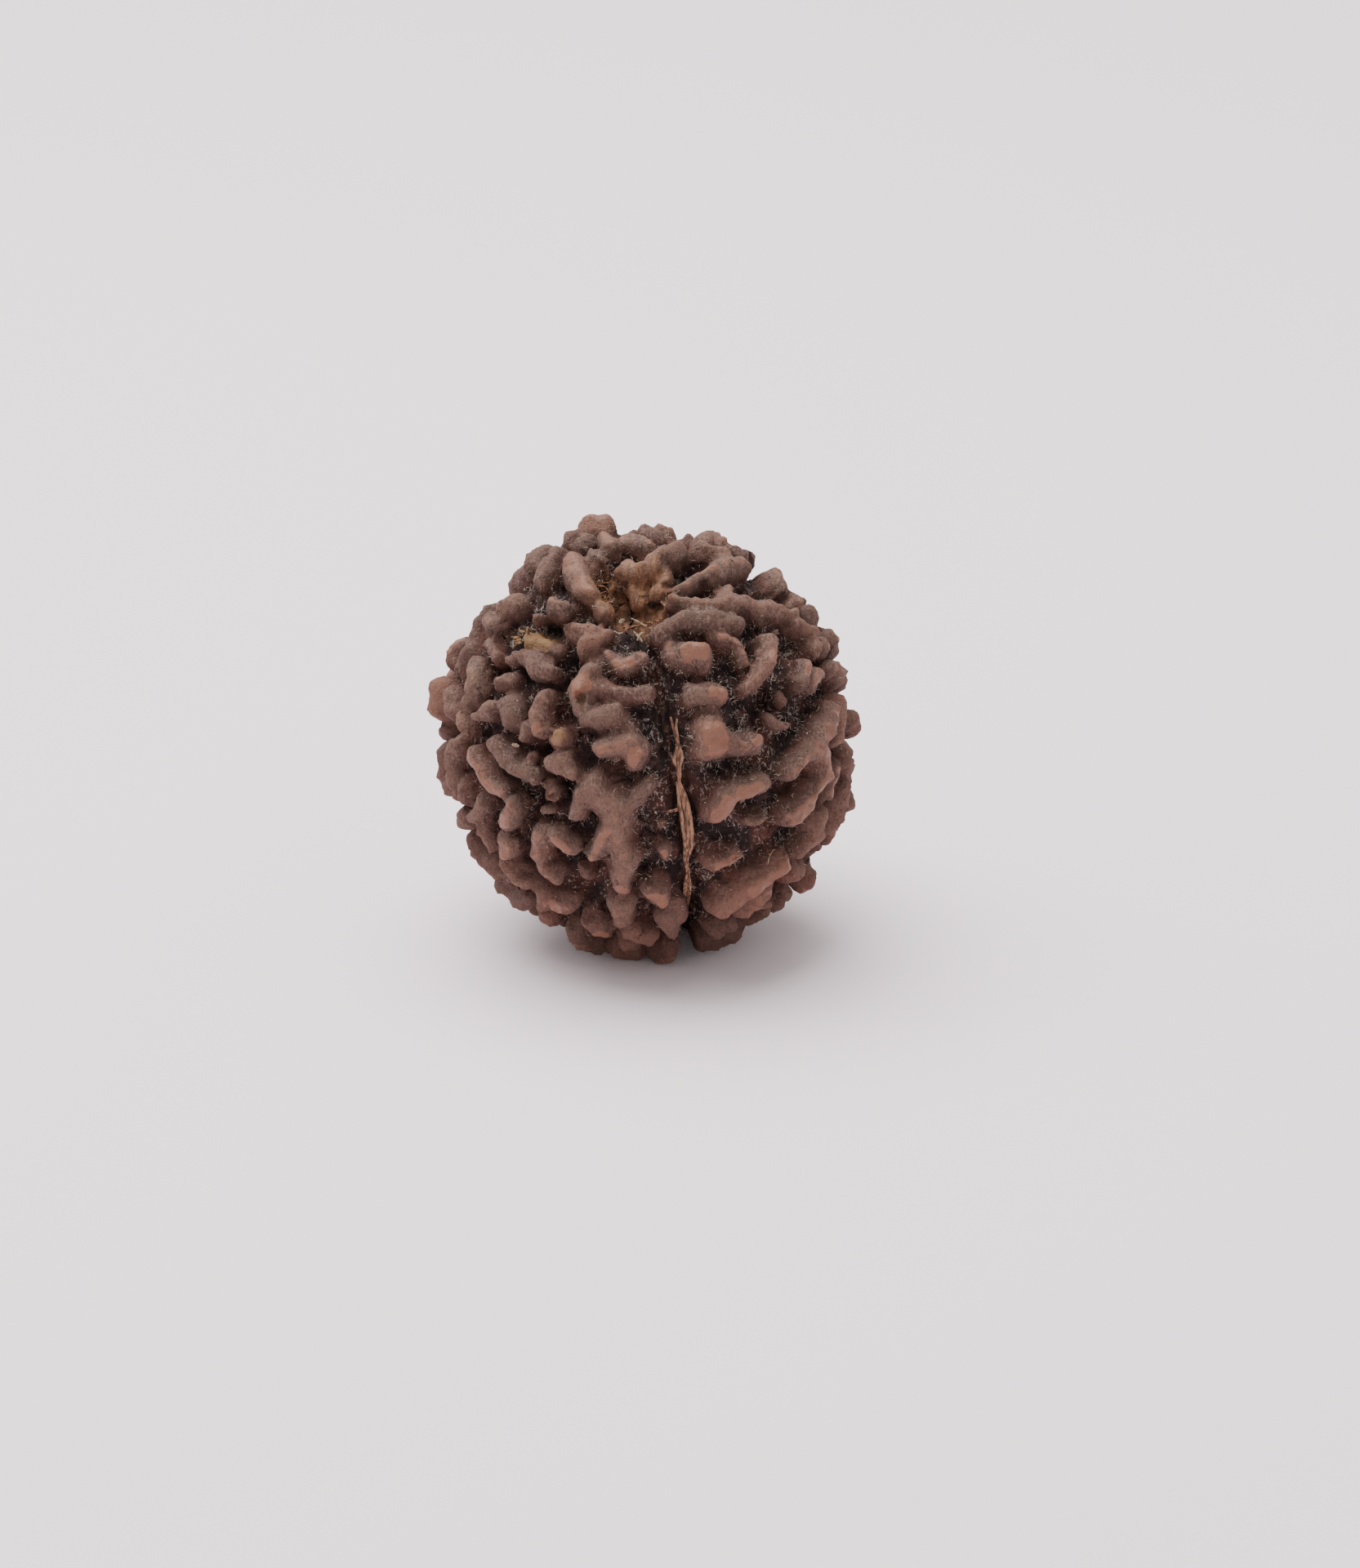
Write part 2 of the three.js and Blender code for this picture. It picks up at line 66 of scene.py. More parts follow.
# The lobes in front, each as the points that its crest runs through: millimetres to the right and
# above the middle of the stone, and the half width there. A second item is how far its top stands
# above the others.
FRONT_LOBES: LobeList = [
    # left of the middle seam, from the hollow down
    [[[-4.4, 6.2, 0.5], [-3.2, 6.2, 0.5], [-2.3, 6.3, 0.4]]],
    [[[-2.7, 5.9, 0.45], [-3.5, 5.2, 0.6]]],
    [[[-2.2, 4.7, 0.5], [-1.4, 4.3, 0.5], [-0.3, 4.5, 0.45]], -0.3],
    [[[-3.85, 1.8, 0.7], [-3.75, 2.7, 0.9], [-3.35, 3.6, 0.75]], 0.2],
    [[[-2.8, 2.9, 0.6], [-1.5, 2.5, 0.55], [-0.1, 2.6, 0.5]], -0.25],
    [[[-3.5, 0.9, 0.5], [-2.8, 1.1, 0.6], [-1.9, 1.2, 0.6]], 0.05],
    [[[-1.6, 1.1, 0.6], [-1.2, 0.4, 0.6]], -0.5],
    [[[-2.8, -0.75, 0.5], [-1.9, -0.5, 0.7], [-1.1, -0.6, 0.75], [-0.5, -1.3, 0.65]], 0.1],
    [[[-2.9, -2.9, 0.8], [-3.7, -3.6, 0.75], [-4.2, -4.4, 0.5]], -0.1],
    [[[-2.3, -3.7, 1.25], [-1.6, -5.3, 1.1], [-1.4, -7.2, 0.9], [-1.5, -8.8, 0.65]]],
    [[[-2.1, -5.5, 0.7], [-2.7, -6.2, 0.55], [-3.1, -7.0, 0.65]]],
    [[[-1.5, -4.0, 0.8], [-0.7, -3.5, 0.7], [0.2, -3.0, 0.5]], -0.3],
    [[[0.8, -6.6, 0.4], [1.1, -7.0, 0.45]], -0.2],
    [[[-3.6, -8.3, 0.4]], -0.4],
    [[[-1.5, -9.9, 0.85], [-1.4, -10.8, 0.65]]],
    [[[0.5, -9.0, 0.75], [0.6, -9.8, 0.75]]],
    [[[1.3, -10.6, 0.5], [1.4, -11.5, 0.5]]],
    [[[-3.3, -10.9, 0.6], [-2.6, -11.5, 0.75]]],
    [[[-0.9, -11.6, 0.5], [0.3, -12.0, 0.55]]],
    [[[-4.2, -11.5, 0.65], [-3.1, -12.1, 0.65]], 0.4],
    [[[-1.7, -12.4, 0.65], [-0.6, -12.5, 0.6]], 0.5],
    [[[0.7, -12.5, 0.55], [1.3, -12.3, 0.5]], 0.5],
    [[[-5.2, -6.0, 0.7], [-4.7, -6.5, 0.65]], 0.2],
    [[[-6.1, -5.8, 0.5], [-6.5, -7.0, 0.5], [-5.4, -8.3, 0.55]]],
    [[[-5.3, -9.9, 0.75], [-4.5, -9.9, 0.6]]],
    [[[-6.2, -9.3, 0.65], [-6.0, -10.1, 0.65]]],
    # left of the left seam
    [[[-5.9, 2.2, 0.45], [-6.3, 1.2, 0.6], [-6.2, 0.4, 0.5]]],
    [[[-5.1, -0.1, 0.55]], -0.1],
    [[[-5.6, -1.7, 0.5], [-4.9, -1.6, 0.6], [-4.3, -2.2, 0.4]], -0.1],
    [[[-5.7, -3.2, 0.4]], -0.5],
    [[[-8.2, 1.8, 0.8], [-8.0, 0.9, 0.65]]],
    [[[-7.2, 0.2, 0.45]], -0.2],
    [[[-8.9, -0.4, 0.45], [-8.1, -1.3, 0.5], [-6.7, -2.4, 0.45]]],
    [[[-10.2, 4.1, 0.6], [-10.1, 3.0, 0.6], [-10.5, 1.9, 0.5]]],
    [[[-10.8, 1.2, 0.4], [-10.8, 0.5, 0.4]]],
    [[[-8.9, 3.2, 0.5], [-8.2, 3.4, 0.4]], -0.5],
    [[[-7.2, 4.5, 0.45], [-6.4, 4.1, 0.6], [-5.6, 3.8, 0.35]]],
    [[[-7.3, 5.9, 0.5], [-6.3, 5.6, 0.6], [-5.5, 5.2, 0.45]], -0.7],
    [[[-11.0, 5.6, 0.65], [-11.4, 4.5, 0.6]], 0.3],
    [[[-12.0, 2.9, 0.6], [-12.0, 1.8, 0.6]], 0.6],
    [[[-9.3, 6.9, 0.65], [-8.9, 6.6, 0.5]]],
    [[[-8.5, 7.7, 0.5], [-7.8, 8.0, 0.6]]],
    [[[-10.3, -1.1, 0.6], [-9.5, -2.3, 0.45], [-8.4, -3.3, 0.45]]],
    [[[-11.4, -0.6, 0.55], [-11.5, -2.0, 0.5], [-11.3, -3.4, 0.5]]],
    [[[-9.6, -3.9, 0.5], [-10.2, -4.7, 0.6]]],
    [[[-7.8, -3.9, 0.45], [-8.2, -5.0, 0.55]]],
    [[[-9.7, -5.6, 0.5], [-9.3, -6.6, 0.5]], -0.2],
    [[[-8.3, -6.1, 0.6], [-8.1, -6.9, 0.5]]],
    [[[-8.3, -7.5, 0.45], [-7.6, -8.3, 0.55], [-7.1, -8.6, 0.45]]],
    # right of the middle seam, from the hollow down
    [[[0.8, 6.0, 0.4], [2.4, 6.8, 0.5], [5.4, 6.7, 0.6]]],
    [[[4.1, 6.1, 0.5], [5.2, 5.3, 0.45], [5.8, 4.5, 0.35]], -0.3],
    [[[2.4, 4.8, 0.85], [3.1, 4.6, 0.85]], 0.3],
    [[[2.7, 2.5, 0.6], [3.4, 2.6, 0.6], [4.4, 2.4, 0.4]]],
    [[[3.9, 0.6, 1.05], [3.8, -0.6, 1.0]], 0.2],
    [[[4.6, -0.2, 0.75], [5.7, -0.4, 0.6], [6.6, -0.5, 0.5]]],
    [[[6.5, -2.75, 0.55], [4.7, -3.4, 0.75], [4.4, -4.5, 0.9]], 0.2],
    [[[4.3, -7.5, 0.75], [5.2, -7.0, 0.5]]],
    [[[8.0, -7.4, 0.6], [6.4, -8.5, 0.65], [4.3, -10.0, 0.8]], 0.2],
    [[[6.2, -4.9, 0.4], [6.9, -4.8, 0.45]], -0.3],
    [[[7.5, 1.0, 0.45], [8.3, 0.7, 0.35]], -0.4],
    [[[7.3, 5.5, 0.6], [7.0, 4.3, 0.5], [6.0, 2.8, 0.45]]],
    [[[4.0, -11.5, 0.6], [4.8, -11.3, 0.6]]],
    [[[6.9, -10.3, 0.5], [6.2, -10.9, 0.65]]],
    [[[3.3, -12.2, 0.6], [4.4, -11.9, 0.6], [5.4, -11.4, 0.55]], 0.4],
    # right of the right seam
    [[[5.0, 7.9, 0.4], [6.8, 7.6, 0.45], [8.6, 7.3, 0.35]]],
    [[[8.7, 8.3, 0.45], [9.0, 7.7, 0.45]]],
    [[[8.9, 6.7, 0.4], [9.6, 6.2, 0.45], [10.0, 5.2, 0.45]]],
    [[[10.5, 6.1, 0.55], [11.0, 5.3, 0.55]], 0.2],
    [[[9.4, 4.3, 0.5], [9.1, 3.4, 0.5]]],
    [[[10.3, 3.6, 0.5], [9.9, 3.1, 0.5]], -0.2],
    [[[11.0, 4.0, 0.5], [11.8, 3.4, 0.5]]],
    [[[12.0, 1.0, 0.6], [12.2, 0.6, 0.5]], 0.3],
    [[[11.1, 1.5, 0.55], [10.1, -0.3, 0.75], [8.4, -2.2, 0.55]]],
    [[[10.2, -0.9, 0.7], [10.6, -2.1, 0.7]]],
    [[[10.3, -2.6, 0.75], [9.5, -3.7, 0.85], [8.7, -4.8, 0.85]]],
    [[[10.2, -4.9, 0.75], [10.0, -5.9, 0.8], [9.2, -6.7, 0.7]]],
    [[[11.6, -3.8, 0.5], [12.1, -3.6, 0.5]], 0.4],
    [[[11.8, -1.2, 0.4], [12.0, -2.4, 0.5]]],
    [[[11.5, -5.0, 0.5], [10.9, -6.1, 0.5]]],
    [[[9.3, -8.5, 0.65]], 0.6],
    [[[8.1, -9.2, 0.45]], 0.2],
    # round the far side of the hollow
    [[[2.2, 8.8, 0.45], [3.8, 9.7, 0.5], [5.8, 10.2, 0.5]]],
    [[[1.5, 8.0, 0.35], [3.4, 7.6, 0.35], [4.4, 8.0, 0.4], [4.8, 8.8, 0.45]], -0.2],
    [[[-0.2, 10.0, 0.4], [1.0, 10.7, 0.65], [1.9, 11.1, 0.6]]],
    [[[-1.3, 10.3, 0.55], [-0.6, 9.9, 0.4]], -0.2],
    [[[3.4, 11.6, 0.5], [3.9, 12.0, 0.5], [4.6, 11.4, 0.5]]],
    [[[5.3, 11.0, 0.4], [6.0, 10.8, 0.4]]],
    [[[7.5, 9.7, 0.65], [7.9, 9.0, 0.55]]],
    [[[-4.3, 10.5, 0.6], [-4.1, 9.4, 0.6], [-3.3, 8.4, 0.45]]],
    [[[-5.3, 7.7, 0.55], [-4.7, 7.6, 0.4]]],
    [[[-6.4, 11.2, 0.55], [-6.9, 10.0, 0.55]], 0.2],
    [[[-5.3, 11.1, 0.6], [-5.9, 10.1, 0.5], [-6.4, 9.2, 0.45]]],
    [[[-3.3, 12.7, 0.7], [-2.5, 12.7, 0.7]], 0.7],
    [[[-4.9, 11.9, 0.5], [-4.3, 12.1, 0.5]], 0.2],
    [[[-2.3, 11.8, 0.5], [-2.2, 11.2, 0.45]]],
    [[[-1.4, 11.7, 0.4], [0.3, 11.4, 0.45]], -0.2],
    [[[-1.0, 12.6, 0.55], [0.5, 12.6, 0.55], [2.0, 12.4, 0.55]], -0.9],
    # folds that run down into the hollow
    [[[-3.2, 8.3, 0.5], [-2.6, 7.4, 0.4]], -0.7],
    [[[-0.8, 10.0, 0.5], [-0.2, 8.9, 0.45]], -1.2],
    [[[1.1, 10.2, 0.45], [0.9, 9.0, 0.45]], -0.8],
]

# Low knobs too small for the plain solid.
SMALL_LOBES: LobeList = [
    [[[-6.1, -4.5, 0.3], [-5.6, -4.5, 0.3]], -0.4],
    [[[-6.8, -1.2, 0.3]], -0.4],
    [[[-8.1, 4.7, 0.3], [-7.7, 4.9, 0.3]], -0.2],
    [[[-9.5, 5.5, 0.4], [-9.0, 4.9, 0.4]], -0.4],
    [[[-3.3, 11.1, 0.3], [-2.8, 10.5, 0.3]], -0.4],
    [[[-9.9, 1.3, 0.35], [-9.1, 1.7, 0.4]]],
    [[[6.5, -9.9, 0.35], [7.2, -9.7, 0.4]]],
    [[[1.5, 5.5, 0.4], [1.4, 4.7, 0.4]], -0.5],
    [[[6.6, 8.7, 0.25]], -0.3],
    [[[7.7, 6.3, 0.2]], -0.4],
    [[[5.7, -3.7, 0.3]], -0.7],
    [[[-6.6, 7.2, 0.4]], -0.6],
    [[[8.4, 2.4, 0.4]], -0.7],
    [[[1.8, -10.3, 0.45], [2.1, -11.1, 0.5]], -0.5],
    [[[0.9, -5.4, 0.3]], -0.7],
    [[[-5.75, -3.25, 0.42]], -0.3],
]

# The feet, as the plan position and half width of each point, seen from above.
FEET: LobeList = [
    [[-0.3, 0.1, 0.75], [0.8, 0.3, 0.75]],
    [[-1.3, -2.3, 0.7], [-0.1, -2.6, 0.8], [1.0, -2.4, 0.65]],
    [[-2.2, 1.9, 0.7], [-3.2, 1.5, 0.65]],
    [[2.7, 1.3, 0.7], [3.4, 0.6, 0.65]],
]


@dataclass
class Lobe:
    """One lobe of the stone.

    Args:
        crest: points that its crest runs through, on the surface of the lobes' tops.
        halves: half width at each of those points.
        rise: how far its top stands above that surface.
        bare: how far its top is worn bare of dust, from 0 to 1.
        tone: lightness of its colour, from 0 to 1.
    """

    crest: Array
    halves: Array
    rise: float = 0.0
    bare: float = 0.3
    tone: float = 0.5


def random_source(seed: int) -> Callable[[], float]:
    """Makes a small repeatable source of random numbers.

    Args:
        seed: where the row of numbers starts.

    Returns:
        A function that gives the next number, from 0 to 1.
    """
    state = seed

    def draw() -> float:
        """Gives the next number.

        Returns:
            A number from 0 to 1.
        """
        nonlocal state
        state = (state + 0x6D2B79F5) & LOW_32_BITS
        mixed = ((state ^ (state >> 15)) * (1 | state)) & LOW_32_BITS
        mixed = ((mixed + (mixed ^ (mixed >> 7)) * (61 | mixed)) & LOW_32_BITS) ^ mixed
        return (mixed ^ (mixed >> 14)) / (LOW_32_BITS + 1)

    return draw


def unit(vector: Array) -> Array:
    """Scales a vector, or each row of an array of them, to length 1."""
    return vector / np.linalg.norm(vector, axis=-1, keepdims=True)


def smooth_step(low: float, high: float, value: Array) -> Array:
    """Rises smoothly from 0 at `low` to 1 at `high`."""
    share = np.clip((value - low) / (high - low), 0, 1)
    return share * share * (3 - 2 * share)


def smooth_min(a: Array, b: Array, width: float) -> Array:
    """Takes the lesser of two distances, with the join rounded over `width`."""
    share = np.clip(0.5 + 0.5 * (b - a) / width, 0, 1)
    return b + (a - b) * share - width * share * (1 - share)


@dataclass(frozen=True)
class Ripple:
    """A smooth irregular pattern in space, from -1 to 1, as a sum of plane waves.

    Args:
        size: distance over which it rises and falls, in millimetres.
        seed: picks the waves.
        waves: how many there are.
    """

    size: float
    seed: int
    waves: int = 14

    def __call__(self, points: Array) -> Array:
        """Evaluates the pattern.

        Args:
            points: positions, as rows.

        Returns:
            The pattern's value at each of them.
        """
        rng = np.random.default_rng(self.seed)
        total = np.zeros(len(points))
        for _ in range(self.waves):
            way = unit(rng.normal(size=3)) * FULL_TURN / (self.size * rng.uniform(0.7, 1.6))
            total += np.sin(points @ way + rng.uniform(0, FULL_TURN))
        return total / math.sqrt(self.waves)


@dataclass(frozen=True)
class StoneForm:
    """The stone's sizes and the surfaces that its pieces are placed on.

    Args:
        radius: from the axis to the lobes' tops, half way along the stone.
        half_length: from the centre to the lobes' tops at either end.
        relief: how far the floor between the lobes lies below their tops.
        view_elevation: how steeply the front view looks down.
        axis_in_front: the stalk end's direction in the front view: right, up and near.
        centre: the stone's centre in the object.
        seams_in_front: a point of each seam that shows in front: right and up.
        hidden_seams: how many more there are.
        seam_half_width: half the width of a seam.
        seam_depth: how deep it cuts into the floor.
        hollow: the stalk hollow's outline, as distances from the axis and heights along it.
    """

    radius: float = 12.1
    half_length: float = 12.9
    relief: float = 1.7
    view_elevation: float = math.radians(22)
    axis_in_front: tuple[float, float, float] = (-0.08, 0.72, 0.69)
    centre: tuple[float, float, float] = (0.12, -0.045, 12.3)
    seams_in_front: tuple[tuple[float, float], ...] = (
        (-11.4, 0.5),
        (-6.6, -4.5),
        (2.5, -5.0),
        (8.9, 0.5),
    )
    hidden_seams: int = 4
    seam_half_width: float = 0.6
    seam_depth: float = 1.0
    hollow: tuple[tuple[float, float], ...] = (
        (0.0, 8.2),
        (0.45, 8.3),
        (0.9, 9.5),
        (1.9, 10.3),
        (2.6, 10.75),
    )

    @property
    def up_in_front(self) -> Array:
        """The front view's upward direction."""
        return np.array([0, math.sin(self.view_elevation), math.cos(self.view_elevation)])

    @property
    def to_eye(self) -> Array:
        """The direction from the stone towards the front view's eye."""
        return np.array([0, -math.cos(self.view_elevation), math.sin(self.view_elevation)])

    @property
    def axis(self) -> Array:
        """The direction from the centre to the stalk end."""
        return unit(self.from_front(*self.axis_in_front))

    def from_front(self, right: float, up: float, near: float = 0.0) -> Array:
        """Turns a point drawn in the front view into one from the stone's centre."""
        return np.array([right, 0, 0]) + up * self.up_in_front + near * self.to_eye

    def reach(self, ways: Array, sunk: float = 0.0) -> Array:
        """Gives the distance from the centre to the surface of the lobes' tops.

        Args:
            ways: directions of length 1, as rows or one alone.
            sunk: how far below that surface to measure to.

        Returns:
            One distance for each direction.
        """
        along = ways @ self.axis
        across = np.sqrt(np.maximum(1 - along * along, 0))
        return 1 / np.hypot(across / (self.radius - sunk), along / (self.half_length - sunk))

    def crest_along(self, way: Array) -> Array:
        """Gives the point of the tops' surface in one direction from the centre."""
        straight = unit(way)
        return straight * self.reach(straight)

    def crest_on_line(self, start: Array, line: Array, sunk: float = 0.0) -> Array:
        """Gives the point of the tops' surface that a line through `start` meets.

        Args:
            start: a point on the line.
            line: its direction; the point is the last that it meets.
            sunk: how far below the tops' surface the wanted surface lies.

        Returns:
            That point, or the nearest to the line if it passes outside.
        """
        radius = self.radius - sunk
        squash = (radius / (self.half_length - sunk)) ** 2 - 1
        start_along, line_along = start @ self.axis, line @ self.axis
        a = 1 + squash * line_along**2
        b = start @ line + squash * start_along * line_along
        c = start @ start + squash * start_along**2 - radius**2
        step = (-b + math.sqrt(max(0.0, b * b - a * c))) / a
        straight = unit(start + line * step)
        return straight * self.reach(straight, sunk)

    def seen_in_front(self, right: float, up: float, sunk: float = 0.0) -> Array:
        """Gives the point of the tops' surface, or of one below it, seen at a place in front."""
        return self.crest_on_line(self.from_front(right, up), self.to_eye, sunk)

    def outwards(self, point: Array) -> Array:
        """Gives the outward direction of the tops' surface at one of its points."""
        along = point @ self.axis
        across = (point - along * self.axis) / self.radius**2
        return unit(across + self.axis * along / self.half_length**2)

    def turn(self, points: Array) -> Array:
        """Gives the angle round the axis.

        Args:
            points: positions, as rows or one alone.

        Returns:
            The angle of each, from 0 to a full turn.
        """
        start = np.array([1.0, 0, 0])
        start = unit(start - (start @ self.axis) * self.axis)
        side = np.cross(self.axis, start)
        return np.arctan2(points @ side, points @ start) % FULL_TURN

    def seams(self) -> list[float]:
        """Places the seams, the hidden ones evenly spread.

        Returns:
            The angle round the axis of each seam.
        """
        seen = [float(self.turn(self.seen_in_front(*at))) for at in self.seams_in_front]
        turned = [(angle - seen[0] + FULL_TURN) % FULL_TURN for angle in seen]
        share = (FULL_TURN - turned[-1]) / (self.hidden_seams + 1)
        last = turned[-1]
        turned += [last + i * share for i in range(1, self.hidden_seams + 1)]
        return [angle + seen[0] for angle in turned]

    def seam_gap(self, points: Array) -> Array:
        """Measures how far points are from the nearest seam, along the surface.

        Args:
            points: positions, as rows or one alone.

        Returns:
            The distance of each.
        """
        rows = np.atleast_2d(points)
        along = rows @ self.axis
        radius = np.sqrt(np.maximum((rows * rows).sum(axis=1) - along * along, 0))
        angle = self.turn(rows)
        apart = [np.arccos(np.clip(np.cos(angle - seam), -1, 1)) for seam in self.seams()]
        return np.min(apart, axis=0) * radius

    def to_metres(self, points: Array) -> Array:
        """Moves points from the stone's centre to their place in the object, in metres."""
        return (points + np.array(self.centre)) * MM


@dataclass
class LobePlan:
    """Where every lobe stands: those seen in front as listed, the rest by the growing rule.

    Args:
        form: the stone's sizes.
        spacing: the least gap between the edges of two lobes.
        edge: how far towards the eye a place may face before it counts as seen in front.
        seed: picks the grown lobes, and the wear and tone of all.
        foot_flat: how much of a foot's top is worn away.
        rounds: the least number of crest points of a round's lobes, and its tries.
        most_points: the most crest points of a grown lobe.
        bare_angle: the angle from the stalk end within which none grows.
        seam_share: how much of a seam's half width a grown lobe keeps clear of.
        half: the least half width of a grown lobe, and what chance may add.
        stride: the distance between two crest points, less the half width.
        swerve: the range of the crest's turn at each point.
        wear: the most that a lobe's top is worn bare by chance.
    """

    form: StoneForm
    spacing: float = 0.25
    edge: float = 0.4
    seed: int = 8
    foot_flat: float = 0.3
    rounds: tuple[tuple[int, int], ...] = ((3, 1500), (2, 2500), (1, 1500))
    most_points: int = 4
    bare_angle: float = 0.3
    seam_share: float = 0.8
    half: tuple[float, float] = (0.55, 0.3)
    stride: float = 0.8
    swerve: float = 1.6
    wear: float = 0.7

    def lobes(self) -> list[Lobe]:
        """Gives every lobe of the stone, with its wear and tone.

        Returns:
            The lobes, the ones drawn in front first.
        """
        placed = self._placed(FRONT_LOBES) + self._feet()
        found = placed + self._grown(placed) + self._placed(SMALL_LOBES)
        rng = np.random.default_rng(self.seed)
        for lobe in found:
            lobe.bare = float(rng.uniform(0.0, self.wear))
            lobe.tone = float(rng.uniform(0, 1))
        return found

    def _placed(self, drawn: LobeList) -> list[Lobe]:
        """Stands lobes drawn in the front view on the stone.

        Args:
            drawn: their points, half widths and rises.

        Returns:
            The lobes.
        """
        made = []
        for points, *rise in drawn:
            crest = np.array([self.form.seen_in_front(x, y) for x, y, _ in points])
            halves = np.array([half for _, _, half in points])
            made.append(Lobe(crest, halves, rise[0] if rise else 0.0))
        return made

    def _feet(self) -> list[Lobe]:
        """Stands the feet under the stone, tall enough to be worn flat.

        Returns:
            The feet, as lobes.
        """
        down = np.array([0.0, 0, -1])
        made = []
        for points in FEET:
            crest = np.array(
                [self.form.crest_on_line(np.array([x, y, 0.0]), down) for x, y, _ in points]
            )
            halves = np.array([half for _, _, half in points])
            rise = self.form.centre[2] + crest[0][2] + self.foot_flat
            made.append(Lobe(crest, halves, rise))
        return made

    def _grown(self, placed: list[Lobe]) -> list[Lobe]:
        """Grows the lobes that the front view doesn't show, the longest first.

        Args:
            placed: the lobes that they have to keep clear of.

        Returns:
            The grown lobes.
        """
        form, draw = self.form, random_source(self.seed)
        taken = np.concatenate([lobe.crest for lobe in placed])
        widths = np.concatenate([lobe.halves for lobe in placed])

        def is_free(at: Array, half: float) -> bool:
            """Says whether a lobe has room at a place.

            Args:
                at: the place, on the tops' surface.
                half: the lobe's half width there.

            Returns:
                Whether it keeps clear of the hollow, the seams and the other lobes.
            """
            angle = math.acos(min(1.0, float(at @ form.axis) / float(np.linalg.norm(at))))
            seam = form.seam_half_width * self.seam_share
            if angle <= self.bare_angle or form.seam_gap(at)[0] <= half + seam:
                return False
            apart = np.linalg.norm(taken - at, axis=1)
            return bool((apart > half + widths + self.spacing).all())

        grown = []
        for least, tries in self.rounds:
            for _ in range(tries):
                height = 2 * draw() - 1
                turn = FULL_TURN * draw()
                flat = math.sqrt(1 - height * height)
                half = self.half[0] + self.half[1] * draw()
                way = np.array([flat * math.cos(turn), flat * math.sin(turn), height])
                at = form.crest_along(way)
                heading = draw() * FULL_TURN
                crest, halves = [], []
                if form.outwards(at) @ form.to_eye > self.edge:
                    continue
                while len(crest) < self.most_points and is_free(at, half):
                    crest.append(at)
                    halves.append(half * (0.85 + 0.3 * draw()))
                    normal = form.outwards(at)
                    ahead = unit(form.axis - (form.axis @ normal) * normal)
                    ahead = ahead * math.cos(heading) + np.cross(normal, ahead) * math.sin(heading)
                    at = form.crest_along(at + ahead * (self.stride + half))
                    heading += self.swerve * (draw() - 0.5)
                if len(crest) < least:
                    continue
                taken = np.vstack([taken, crest])
                widths = np.append(widths, halves)
                grown.append(Lobe(np.array(crest), np.array(halves), 0.5 * (draw() - 0.6)))
        return grown


